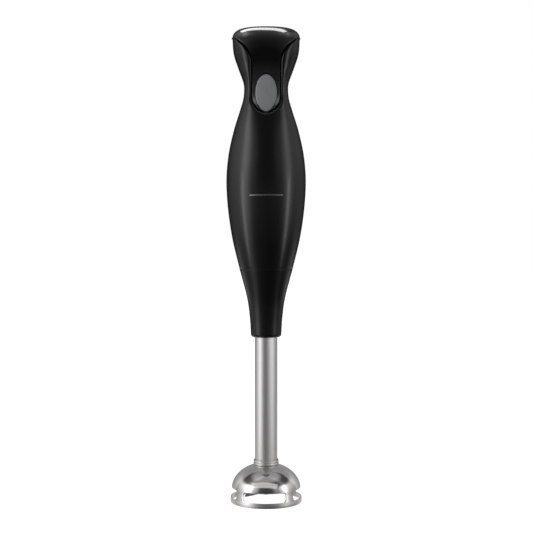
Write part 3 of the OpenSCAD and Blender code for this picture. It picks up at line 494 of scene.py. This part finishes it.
def bored(bm, y0, x=0.0, z=0.0):
    """Lays a piece turned round Z along +Y, its height 0 at y0."""
    bmesh.ops.rotate(bm, verts=bm.verts, matrix=Matrix.Rotation(-pi / 2, 3, "X"))
    bmesh.ops.translate(bm, verts=bm.verts, vec=(x, y0, z))
    return bm


def soften(bm, size, least=40, segments=2):
    """Rounds every edge that is sharper than the angle."""
    sharp = [e for e in bm.edges if len(e.link_faces) == 2 and e.calc_face_angle(0) > radians(least)]
    bmesh.ops.bevel(bm, geom=sharp, offset=size, offset_type="OFFSET", affect="EDGES", segments=segments,
                    profile=0.5, material=-1, clamp_overlap=True)
    return bm


def facing(bm, way):
    """Turns the faces so that most of their area looks the given way."""
    bmesh.ops.recalc_face_normals(bm, faces=bm.faces)
    if sum(f.normal.dot(Vector(way)) * f.calc_area() for f in bm.faces) < 0:
        bmesh.ops.reverse_faces(bm, faces=bm.faces)
    return bm


def finish_mesh(thing, sharp=38):
    """Smooth shading, apart from real corners."""
    bm = bmesh.new()
    bm.from_mesh(thing.data)
    for face in bm.faces:
        face.smooth = True
    for edge in bm.edges:
        edge.smooth = not (len(edge.link_faces) == 2 and edge.calc_face_angle(0) > radians(sharp))
    bm.to_mesh(thing.data)
    bm.free()


def settle(thing):
    """Makes the modifiers part of the mesh."""
    made = bpy.data.meshes.new_from_object(thing.evaluated_get(bpy.context.evaluated_depsgraph_get()))
    old = thing.data
    thing.modifiers.clear()
    thing.data = made
    bpy.data.meshes.remove(old)


def loose(name, bm, merge=1e-3):
    bmesh.ops.remove_doubles(bm, verts=bm.verts, dist=merge)
    bmesh.ops.scale(bm, verts=bm.verts, vec=(0.001, 0.001, 0.001))
    mesh = bpy.data.meshes.new(name)
    bm.to_mesh(mesh)
    bm.free()
    thing = bpy.data.objects.new(name, mesh)
    scene.collection.objects.link(thing)
    return thing


def walled(thing, thickness, edge=0.25, even=True):
    """Gives a skin its wall, inwards, and rounds the wall's corners."""
    wall = thing.modifiers.new("wall", "SOLIDIFY")
    wall.thickness, wall.offset, wall.use_even_offset = thickness / 1000, -1, even
    if edge:
        soft = thing.modifiers.new("edge", "BEVEL")
        soft.width, soft.segments, soft.limit_method, soft.angle_limit = edge / 1000, 2, "ANGLE", radians(50)
    settle(thing)
    return thing


def cut(thing, cutters):
    """Takes the cutters out of a piece."""
    tool = loose("cutter", cutters)
    hole = thing.modifiers.new("cut", "BOOLEAN")
    hole.operation, hole.solver, hole.object = "DIFFERENCE", "MANIFOLD", tool
    settle(thing)
    bpy.data.objects.remove(tool)
    return thing


def fit(thing, *nodes):
    """Puts a finished piece in the place of CAD nodes."""
    thing.data.materials.clear()
    thing.data.materials.append(FINISHES[SLOT_OF[nodes[0]]].material)
    finish_mesh(thing)
    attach(thing, BODY_OF[nodes[0]])
    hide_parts(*nodes)
    return thing


# ---------------------------------------------------------------- front casing

JOIN = 290.0
FAN, SIDE, ACROSS, ROLL = 22, 62, 26, 6
GAP = 0.25


def outline_share(v):
    """How far along the channel's outline the row at v of a sheet lies."""
    row = v * (FAN + SIDE)
    return LOW_SHARE * row / FAN if row <= FAN else mix(LOW_SHARE, 1, (row - FAN) / SIDE)


def edge_turn(x, z):
    return degrees(atan2(-surface_y(x, z), x)) % 360


def front_skin(turn, z):
    p = skin(turn, z)
    p.y = min(p.y, -0.01)
    return p


def shoulder(u, v):
    """Right half of the casing round the channel: u from the channel's edge outwards, v along it."""
    row = v * (FAN + SIDE)
    x, z = channel_edge(outline_share(v))
    nx, nz = edge_normal(outline_share(v))
    room = half_width(z) - x
    roll = min(2.6, 0.42 * room)
    col = u * (ACROSS + ROLL + 1)
    gap = min(GAP, 0.2 * room)

    def at(out, deep):
        px, pz = x + nx * (gap + out), min(z + nz * (gap + out), HEAD)
        return Vector((px, -surface_y(px, pz) + deep, pz))

    if col < 1:
        return at(0, roll + 1.8)
    if col <= ROLL + 1:
        a = pi / 2 * (col - 1) / ROLL
        return at(roll * (1 - cos(a)), roll * (1 - sin(a)))
    start = at(roll, 0)
    t = (col - ROLL - 1) / ACROSS
    turn0 = edge_turn(start.x, start.z)
    turn0 = turn0 if turn0 > 180 else 360.0
    if row <= FAN:
        turn1, z1 = 270 + 90 * row / FAN, JOIN
    else:
        turn1, z1 = 360.0, mix(JOIN, HEAD, ((row - FAN) / SIDE) ** 0.9)
    t = t ** 1.15
    return front_skin(mix(turn0, turn1, t), mix(start.z, z1, t))


def front_casing():
    bm = mirrored(sheet(ACROSS + ROLL + 1, FAN + SIDE, shoulder))
    low = SEAM + 0.01
    add(bm, mirrored(sheet(FAN, 64, lambda u, v: front_skin(270 + 90 * u, mix(low, JOIN, v)))))
    bmesh.ops.remove_doubles(bm, verts=bm.verts, dist=2e-3)
    return fit(walled(loose("front_casing_shell", facing(bm, (0, -1, 0))), 1.5, 0.22, False), "front_casing")


# ---------------------------------------------------------------- rear casing

VENTS = [(SEAM + 0.13 * HOUSING + i * 4.4, w) for i, w in enumerate((18, 20, 22, 20, 18))] + [
    (SEAM + 0.5 * HOUSING + i * 4.4, w) for i, w in enumerate((16, 18, 20, 18, 16))]
SCREWS = [(side * x, SEAM + rise * HOUSING)
          for x, rise in ((13, 0.64), (17, 0.93), (16.3, 0.06)) for side in (-1, 1)]
GLAND = HEAD - 15


def rear_casing():
    low = SEAM + 0.01

    def place(u, v):
        p = skin(180 * u, mix(low, HEAD, v))
        p.y = max(p.y, 0.01)
        return p

    shell = walled(loose("rear_casing_shell", facing(sheet(56, 120, place), (0, 1, 0))), 2.0, 0.22)
    tools = bmesh.new()
    for z, width in VENTS:
        slot = bmesh.new()
        bmesh.ops.create_cube(slot, size=1)
        bmesh.ops.scale(slot, verts=slot.verts, vec=(width, 24, 2))
        ends = [e for e in slot.edges if abs((e.verts[0].co - e.verts[1].co).y) > 1]
        bmesh.ops.bevel(slot, geom=ends, offset=0.95, affect="EDGES", segments=4, profile=0.5, material=-1)
        bmesh.ops.translate(slot, verts=slot.verts, vec=(0, 26, z + 1))
        add(tools, slot)
    for x, z in SCREWS:
        add(tools, bored(turned([(0, 0), (3.1, 0), (3.1, 30), (0, 30)], 32), 12, x, z))
    add(tools, bored(turned([(0, 0), (5.95, 0), (5.95, 30), (0, 30)], 48), 14, 0, GLAND))
    cut(shell, tools)
    tubes = bmesh.new()
    for x, z in SCREWS:
        tube = bored(turned([(3.15, 7), (4.2, 7), (4.2, 20), (3.15, 20)], 32), 0, x, z)
        for v in tube.verts:
            if v.co.y > 10:
                v.co.y = max(surface_y(v.co.x, v.co.z, True, 0.5), 7.3)
        add(tubes, tube)
    tubes.transform(Matrix.Scale(0.001, 4))
    tubes.from_mesh(shell.data)
    tubes.to_mesh(shell.data)
    tubes.free()
    return fit(shell, "rear_casing")


# ---------------------------------------------------------------- top cover: finger channel and crown

PANEL = 22
CROWN, CROWN_ROUND = 16, 12.0


def lesser(a, b, soft):
    """The smaller of two, with the corner between them rounded."""
    d = a - b
    return 0.5 * (a + b - sqrt(d * d + soft * soft * 0.25)) + soft * 0.02


def panel_y(x, z):
    """The cover's front face: the channel's floor, running out into the head's skin."""
    high = max(z - (HEAD - 8.5), 0.0)
    return -lesser(floor_y(z), surface_y(x, z), 1.4) + 0.018 * high ** 2 * max(0.0, 1 - (x / HEAD_W) ** 2)


def panel_place(u, v):
    """The floor's right half, with its rim rolled back; the roll fades out towards the crown."""
    share = outline_share(v)
    x, z = channel_edge(share)
    nx, nz = edge_normal(share)
    tip = min(1.0, (1 - share) / 0.06)
    x, z = max(x - nx * GAP * tip, 0.0), z - nz * GAP * tip
    roll = min(1.0, 0.4 * x)
    col = u * (PANEL + ROLL)
    if col < PANEL:
        px = (x - roll) * col / PANEL
        return Vector((px, panel_y(px, z), z))
    fade = min(1.0, (1 - share) / 0.16)
    a = pi / 2 * (col - PANEL) / ROLL
    px = x - roll + roll * sin(a)
    drop = roll * (1 - cos(a)) * fade + (1.6 * fade if col >= PANEL + ROLL else 0)
    return Vector((px, mix(panel_y(px, z), panel_y(x - roll, z) + drop, fade), z))


def dipped_panel(u, v):
    """The panel with the middle of its upper edge lowered, where the crown starts."""
    p = panel_place(u, v)
    edge, top = channel_edge(1.0)
    p.z -= 2.5 * max(0.0, 1 - (p.x / edge) ** 2) * max(0.0, 1 - (top - p.z) / 12) ** 2
    return p


def crown_z(base, share):
    """Height of the crown at a share of the way out to its edge, fuller at the front than at the sides."""
    power = 8 + 4 * max(-base.y, 0) / HEAD_FRONT
    return mix(base.z, TOP, sqrt(max(1 - share ** power, 0.0)))


def top_cover():
    """One moulding: the channel's floor first, and the crown from its upper edge."""
    bm = mirrored(sheet(PANEL + ROLL, FAN + SIDE, dipped_panel))
    front = [dipped_panel(u / (PANEL + ROLL), 1.0) for u in range(PANEL + ROLL + 1)]
    last = front[-1]
    start = degrees(atan2(last.y, last.x)) % 360
    back = 30
    ring = front + [skin(mix(start, 450, k / back), HEAD) for k in range(1, back + 1)]
    n = len(ring) - 1

    def crown(u, v):
        base = ring[round(u * n)]
        k = 1 - CROWN_ROUND / HEAD_W * v ** 1.6
        return Vector((base.x * k, base.y * k, crown_z(base, k)))

    def lid(u, v):
        base = ring[round(u * n)]
        k = (1 - CROWN_ROUND / HEAD_W) * (1 - v)
        return Vector((base.x * k, base.y * k, crown_z(base, k)))

    add(bm, mirrored(sheet(n, CROWN, crown)))
    add(bm, mirrored(sheet(n, 8, lid)))
    bmesh.ops.remove_doubles(bm, verts=bm.verts, dist=4e-3)
    cover = walled(loose("top_cover_shell", facing(bm, (0, 0, 1))), 1.3, 0.2)
    hole = bored(turned([(0, 0), (1, 0), (1, 40), (0, 40)], 72), -40)
    bmesh.ops.scale(hole, verts=hole.verts, vec=(BUTTON_W + 0.35, 1, BUTTON_H + 0.35))
    bmesh.ops.translate(hole, verts=hole.verts, vec=(0, 0, BUTTON_Z))
    cut(cover, hole)
    return fit(cover, "top_cover")


# ---------------------------------------------------------------- button, symbol, accent bar

BUTTON_W, BUTTON_H, BUTTON_Z = 8.4, 15.3, SEAM + 0.7495 * HOUSING
BUTTON_SLOPE = (floor_y(BUTTON_Z - BUTTON_H) - floor_y(BUTTON_Z + BUTTON_H)) / (2 * BUTTON_H)


def button_face(x, z):
    rise = z - BUTTON_Z
    return floor_y(BUTTON_Z) + 1.6 - rise * BUTTON_SLOPE + 0.9 - 0.004 * rise ** 2 - 0.008 * x * x


def button_cap():
    edge, dome = 1.1, 6

    def place(u, v):
        a = tau * u
        row = v * (dome + 8)
        if row <= 8:
            k = row / 8
            x, z, drop = (BUTTON_W - edge) * k * cos(a), (BUTTON_H - edge) * k * sin(a), 0.0
        else:
            t = pi / 2 * min(row - 8, dome - 1) / (dome - 1)
            out = edge * (1 - sin(t))
            x, z = (BUTTON_W - out) * cos(a), (BUTTON_H - out) * sin(a)
            drop = edge * (1 - cos(t)) + (3.6 if row > dome + 7 else 0)
        return Vector((x, -button_face(x, BUTTON_Z + z) + drop, BUTTON_Z + z))

    bm = sheet(72, dome + 8, place)
    bmesh.ops.remove_doubles(bm, verts=bm.verts, dist=1e-3)
    bmesh.ops.holes_fill(bm, edges=[e for e in bm.edges if e.is_boundary], sides=0)
    bmesh.ops.recalc_face_normals(bm, faces=bm.faces)
    stem = bored(soften(turned([(0, 0), (2.2, 0), (2.2, 9.9), (0, 9.9)], 32), 0.2), -14.1, 0, BUTTON_Z)
    return fit(loose("button_cap_oval", add(bm, stem)), "button_cap")


def button_spring():
    """Coil between the switch and the cap."""
    wire, radius, turns, travel, clear = 0.3, 3.3, 4, 1.6, FIT_GAP
    back, front = -6.5 - clear, -(floor_y(SEAM + 0.807 * HOUSING) - WALL - travel - 1 - clear)

    def place(u, v):
        a, b = tau * turns * v, tau * u
        q = radius + wire * cos(b)
        return Vector((q * cos(a), mix(back - wire, front + wire, v) + wire * sin(b), BUTTON_Z + q * sin(a)))

    bm = sheet(12, turns * 32, place)
    bmesh.ops.remove_doubles(bm, verts=bm.verts, dist=1e-4)
    bmesh.ops.holes_fill(bm, edges=[e for e in bm.edges if e.is_boundary], sides=0)
    bmesh.ops.recalc_face_normals(bm, faces=bm.faces)
    coil = fit(loose("button_spring_coil", bm, 1e-4), "button_spring")
    front / 1000
    1 - travel / (back - front)
    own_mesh(coil)
    return coil


def button_symbol():
    """Stand-by sign: an open ring with a bar in its gap, just proud of the cap."""
    line, low, high = 0.42, -0.5, 0.16
    inner, outer = 2.6 - line / 2, 2.6 + line / 2
    profile = rounded([(inner, low), (outer, low), (outer, high), (inner, high)], {2: 0.12, 3: 0.12}, 2)
    bm = turned(profile, 40, radians(280), radians(-230))
    bar = bmesh.new()
    bmesh.ops.create_cube(bar, size=1)
    bmesh.ops.scale(bar, verts=bar.verts, vec=(line, 3.0, 0.66))
    bmesh.ops.translate(bar, verts=bar.verts, vec=(0, 1.7, -0.17))
    add(bm, soften(bar, 0.1))
    for v in bm.verts:
        x, z, out = v.co.x, BUTTON_Z + v.co.y, v.co.z
        v.co = (x, -button_face(x, z) - out, z)
    bmesh.ops.recalc_face_normals(bm, faces=bm.faces)
    return fit(loose("button_symbol_raised", bm, 1e-4), "button_symbol")


def accent_bar():
    """A plain straight bar let into the belly."""
    centre = SEAM + 0.3835 * HOUSING - 13.5

    def place(u, v):
        s, t = 2 * u - 1, 2 * v - 1
        end = max(0.0, (abs(s) - 0.96) / 0.04)
        half = 0.5 * sqrt(max(1 - end * end, 0.0025))
        x, z = 13 * s, centre + half * t
        rise = 0.22 * (1 - t ** 4) * (1 - end ** 4)
        return Vector((x, -surface_y(x, z) - rise + 0.02, z))

    bar = loose("accent_bar_silver", facing(sheet(120, 8, place), (0, -1, 0)), 1e-4)
    return fit(walled(bar, 0.25, 0), "accent_strip")


def cord_gland():
    out = surface_y(0, GLAND, True)
    profile = rounded([(3.6, -9), (5.85, -9), (5.85, -0.4), (6.6, 0.0), (7.1, 1.2), (7.1, 3.2), (6.2, 3.4),
                       (4.6, 3.4), (3.6, 2.6)], {5: 0.5, 4: 0.4, 7: 0.3}, 3)
    bm = bored(turned(profile, 72), out, 0, GLAND)
    return fit(loose("cord_gland_ring", bm), "cord_gland")


# ---------------------------------------------------------------- leg

def leg_collar():
    top, turn_r = SEAM - 0.01, 2.4
    start = half_width(NOSE + turn_r)
    outer = [(start - turn_r + turn_r * sin(a), NOSE + turn_r - turn_r * cos(a))
             for a in (radians(10 * k) for k in range(10))]
    outer += [(half_width(z), z) for z in (mix(NOSE + turn_r, top - 0.3, k / 40) for k in range(1, 41))]
    outer += [(half_width(top) - 0.08, top - 0.1), (half_width(top) - 0.35, top)]
    inner = [(14.95, top), (14.8, top - 0.3), (14.8, 174.1), (9.0, 174.1), (9.0, 150.2), (9.05, 150.2),
             (9.05, NOSE + 0.3), (9.35, NOSE)]
    bm = turned(outer + inner, 128)
    for k in range(3):
        lug = turned([(12.9, 181.4), (15.4, 181.4), (15.4, 183.8), (12.9, 183.8)], 6, radians(14),
                     radians(120 * k - 7))
        add(bm, soften(lug, 0.2))
    return fit(loose("leg_collar_moulding", bm, 1e-4), "leg_collar")


def leg_tube():
    profile = rounded([(8.2, 29.5), (9.0, 29.5), (9.0, 150.0), (8.2, 150.0)], {1: 0.2, 2: 0.2}, 2)
    bm = turned(profile, 128)
    rings = [e for e in bm.edges if abs(e.verts[0].co.z - e.verts[1].co.z) > 50]
    bmesh.ops.subdivide_edges(bm, edges=rings, cuts=20, use_grid_fill=False)
    return fit(loose("leg_tube_drawn", bm), "leg_tube")


def tube_sleeve():
    low = 29.42
    bead = [(9.05, low), (9.85, low)]
    for centre, radius, bulge in ((0.95, 0.85, 0.42), (2.75, 0.8, 0.34)):
        bead += [(9.75 + bulge * cos(a), low + centre + radius * sin(a))
                 for a in (radians(t) for t in range(-75, 76, 15))]
    bead += [(9.72, low + 3.8), (9.5, low + 4.1), (9.05, low + 4.1)]
    return fit(loose("tube_sleeve_beaded", turned(bead, 128)), "tube_sleeve")


RIM_R, SKIRT_R, SKIRT_TOP, DOME_TOP, SHEET = 28.5, 27.6, 10.0, 29.4, 0.9
DOME_RISE = (DOME_TOP - SKIRT_TOP) / sqrt(1 - (9.0 / SKIRT_R) ** 2)


def guard_r(z):
    if z <= 2:
        return RIM_R
    if z <= SKIRT_TOP:
        return mix(RIM_R, SKIRT_R, (z - 2) / (SKIRT_TOP - 2))
    return SKIRT_R * sqrt(1 - ((z - SKIRT_TOP) / DOME_RISE) ** 2)


def on_guard(turn, z):
    r = guard_r(z)
    return Vector((r * cos(radians(turn)), r * sin(radians(turn)), z))


def bell_guard():
    """Spun bell with four windows: each quarter is a frame of quads round its window."""
    top_n, side_n, rings = 30, 10, 6
    low, high = 2.0, 12.8
    half_a, mid_z, half_z = 37.5, (4.0 + 11.3) / 2, (11.3 - 4.0) / 2
    mm = radians(1) * 28

    def outline(k):
        k %= 2 * (top_n + side_n)
        if k < top_n:
            return mix(-45, 45, k / top_n), high
        if k < top_n + side_n:
            return 45.0, mix(high, low, (k - top_n) / side_n)
        if k < 2 * top_n + side_n:
            return mix(45, -45, (k - top_n - side_n) / top_n), low
        return -45.0, mix(low, high, (k - 2 * top_n - side_n) / side_n)

    def window(turn, z):
        """The window's edge nearest to a point of the outer frame."""
        wide = half_a * mm
        sx = turn / 45
        sz = (z - mid_z) / ((high - mid_z) if z > mid_z else (mid_z - low))
        r = 2.1 if z > mid_z else 3.1
        x, y = sx * wide, sz * half_z
        cx, cy = wide - r, half_z - r
        if abs(x) > cx and abs(y) > cy:
            d = Vector((abs(x) - cx, abs(y) - cy))
            d = d.normalized() * r if d.length > 0 else Vector((r, 0))
            x, y = (cx + d.x) * (1 if x > 0 else -1), (cy + d.y) * (1 if y > 0 else -1)
        return x / mm, mid_z + y

    count = 2 * (top_n + side_n)
    bm = bmesh.new()
    for quarter in range(4):
        centre = 270 - 3.5 + 90 * quarter

        def place(u, v, centre=centre):
            a, z = outline(round(u * count))
            b, y = window(a, z)
            t = 1 - (1 - v) ** 1.3
            return on_guard(centre + mix(b, a, t), mix(y, z, t))

        add(bm, sheet(count, rings, place))
    full = 4 * top_n
    shift = 270 - 3.5 - 45

    def rim(u, v):
        return on_guard(shift + 360 * u, low * v)

    def dome(u, v):
        turn = radians(shift + 360 * u)
        a0 = (high - SKIRT_TOP) / DOME_RISE
        a0 = atan2(a0, sqrt(1 - a0 * a0))
        a1 = atan2(sqrt(1 - (9.1 / SKIRT_R) ** 2), 9.1 / SKIRT_R)
        a = mix(a0, a1, v)
        r, z = SKIRT_R * cos(a), SKIRT_TOP + DOME_RISE * sin(a)
        return Vector((r * cos(turn), r * sin(turn), z))

    def neck(u, v):
        turn = radians(shift + 360 * u)
        r, z = [(9.1, dome(0, 1).z), (8.15, DOME_TOP), (8.15, DOME_TOP + 9)][round(v * 2)]
        return Vector((r * cos(turn), r * sin(turn), z))

    add(bm, sheet(full, 3, rim))
    add(bm, sheet(full, 34, dome))
    add(bm, sheet(full, 2, neck))
    bmesh.ops.remove_doubles(bm, verts=bm.verts, dist=2e-3)
    bmesh.ops.recalc_face_normals(bm, faces=bm.faces)
    if sum(f.normal.dot(f.calc_center_median() - Vector((0, 0, 8))) for f in bm.faces) < 0:
        bmesh.ops.reverse_faces(bm, faces=bm.faces)
    return fit(walled(loose("bell_guard_spun", bm), SHEET, 0.14), "bell_guard")


def blade():
    """Hub disc with one wing bent down and one bent up, each ground to an edge."""
    low, thick = 8.0, 1.1
    bm = turned(rounded([(2.5, 0), (6.2, 0), (6.2, thick), (2.5, thick)], {1: 0.15, 2: 0.15}, 2), 64)
    for length, tilt, turn in ((15.3, 9, 0), (14.1, -24, 180)):
        wing = bmesh.new()
        outline = [(-0.4, -5), (length * 0.35, -4.6), (length * 0.75, -3.4), (length, -1.0),
                   (length - 0.3, 1), (length * 0.6, 3.4), (-0.4, 5)]
        face = wing.faces.new([wing.verts.new((x, y, 0)) for x, y in outline])
        lift = bmesh.ops.extrude_face_region(wing, geom=[face])
        top = [v for v in lift["geom"] if isinstance(v, bmesh.types.BMVert)]
        bmesh.ops.translate(wing, verts=top, vec=(0, 0, thick))
        for v in top:
            if v.co.x > 1 and v.co.y < 0:
                v.co.y += 1.1
        bmesh.ops.recalc_face_normals(wing, faces=wing.faces)
        soften(wing, 0.12, 25)
        bmesh.ops.rotate(wing, verts=wing.verts, matrix=Matrix.Rotation(radians(tilt), 3, "Y"))
        bmesh.ops.translate(wing, verts=wing.verts, vec=(5, 0, 0))
        bmesh.ops.rotate(wing, verts=wing.verts, matrix=Matrix.Rotation(radians(turn), 3, "Z"))
        add(bm, wing)
    bmesh.ops.rotate(bm, verts=bm.verts, matrix=Matrix.Rotation(radians(213), 3, "Z"))
    bmesh.ops.translate(bm, verts=bm.verts, vec=(0, 0, low))
    return fit(loose("blade_bent", bm, 1e-4), "blade")


casing = front_casing()
rear_casing()
cover = top_cover()
button_cap()
button_spring()
button_symbol()
accent_bar()
cord_gland()
leg_collar()
tube = leg_tube()
sleeve = tube_sleeve()
guard = bell_guard()
blade()


# ---------------------------------------------------------------- studio

def studio_floor():
    f = Finish("studio_floor_paper")
    grain = f.noise(f.place(), 0.02, 3.0)
    f.set("Base Color", f.mix(grain, (0.9, 0.9, 0.9), (0.93, 0.93, 0.93)), "Roughness", 0.9,
          "Emission Color", (1, 1, 1, 1), "Emission Strength", 0.92, "Specular IOR Level", 0.0)
    wide = 60000
    ground = loose("studio_floor", sheet(1, 1, lambda u, v: Vector((wide * (u - 0.5), wide * (v - 0.5), 0))))
    ground.data.materials.append(f.material)
    ground.visible_glossy = ground.visible_diffuse = False


def lamp(name, size, place, power, aim, only):
    """A rectangular lamp that faces its aim, and is screened to light only some pieces."""
    light = bpy.data.lights.new(name, "AREA")
    light.shape, light.size, light.size_y = "RECTANGLE", size[0], size[1]
    light.energy = power
    thing = bpy.data.objects.new(name, light)
    thing.location = place
    thing.rotation_euler = (Vector(aim) - Vector(place)).to_track_quat("-Z", "Y").to_euler()
    thing.visible_camera = False
    scene.collection.objects.link(thing)
    lit = bpy.data.collections.new(name + "_lights")
    for piece in only:
        lit.objects.link(piece)
    thing.light_linking.receiver_collection = lit


def surroundings():
    """Room light: white to the eye, and a graded grey room in what the object reflects."""
    world = bpy.data.worlds.new("studio_room")
    world.use_nodes = True
    scene.world = world
    tree = world.node_tree
    tree.nodes.clear()
    room = Finish.__new__(Finish)
    room.tree = tree
    way = room.node("TexCoord", {}, {}, "Generated")
    x, y, z = (room.node("SeparateXYZ", {}, {0: way}, axis) for axis in "XYZ")
    turn = room.node("Math", {"operation": "ARCTAN2"}, {0: x, 1: 0 - y}) * (180 / pi)
    turn_size = room.node("Math", {"operation": "ABSOLUTE"}, {0: turn})

    def along(stops, most=2.5):
        """Brightness by the angle from the camera's side."""
        graded = [(angle / 180, (level / most,) * 3) for angle, level in stops]
        return room.node("ValToRGB", {"stops": graded}, {0: turn_size / 180}) * most

    left = along([(0, 0.14), (24, 0.2), (44, 0.46), (56, 1.7), (67, 2.2), (80, 0.85), (100, 0.55),
                  (120, 0.27), (140, 0.09), (155, 0.02), (180, 0.01)])
    right = along([(0, 0.14), (24, 0.18), (45, 0.26), (58, 0.8), (69, 1.5), (80, 0.6), (92, 0.42),
                   (112, 0.36), (138, 0.12), (155, 0.03), (180, 0.01)])
    side = x.step(-0.02, 0.02)
    height = z.step(-0.4, 0.0, 0.3, 1.0) * z.step(0.0, 0.4, 1.0, 1.5) * z.step(0.42, 0.62, 1.0, 0.1)
    ahead = turn_size.step(18, 34, 0.75, 0.0) * z.step(-0.04, 0.08) * z.step(0.45, 0.6, 1.0, 0.0)
    height = height * (1 - ahead)
    low_right = side * z.step(-0.35, -0.05, 0.5, 0.0)
    behind = turn_size.step(95, 140)
    table = z.step(-0.24, -0.12, 1.0, 0.0) * behind * 0.6
    amount = (left * (1 - side) + right * side * (1 - low_right)) * height + z.step(0.78, 0.92) * 0.3 + table
    seen = room.node("LightPath", {}, {}, "Is Camera Ray")
    back = room.node("Background", {}, {"Color": (1, 1, 1, 1), "Strength": amount})
    open_sky = room.node("Background", {}, {"Color": (1, 1, 1, 1), "Strength": 1.0})
    both = room.node("MixShader", {}, {0: seen, 1: back, 2: open_sky})
    tree.links.new(both.socket, tree.nodes.new("ShaderNodeOutputWorld").inputs["Surface"])


studio_floor()
surroundings()
lamp("crown_softbox", (1.3, 0.3), (-0.05, -0.18, 0.79), 19, (0, -0.02, 0.37), only=[cover])
lamp("guard_backdrop", (5, 2.4), (0, 1.2, 0.5), 11, (0, 0, 0.1), only=[guard])
lamp("guard_front", (1.7, 0.5), (-0.1, -0.72, 0.74), 1.5, (0, 0, 0.02), only=[guard])
lamp("tube_fill", (1.0, 0.5), (0.72, -0.86, 0.25), 1.25, (0, 0, 0.1), only=[tube, sleeve])
lamp("rim_strip_left", (0.05, 0.34), (-0.52, -0.2, 0.17), 0.16, (0, 0, 0.34), only=[casing])
lamp("rim_strip_right", (0.05, 0.34), (0.52, -0.24, 0.17), 0.18, (0, 0, 0.34), only=[casing])
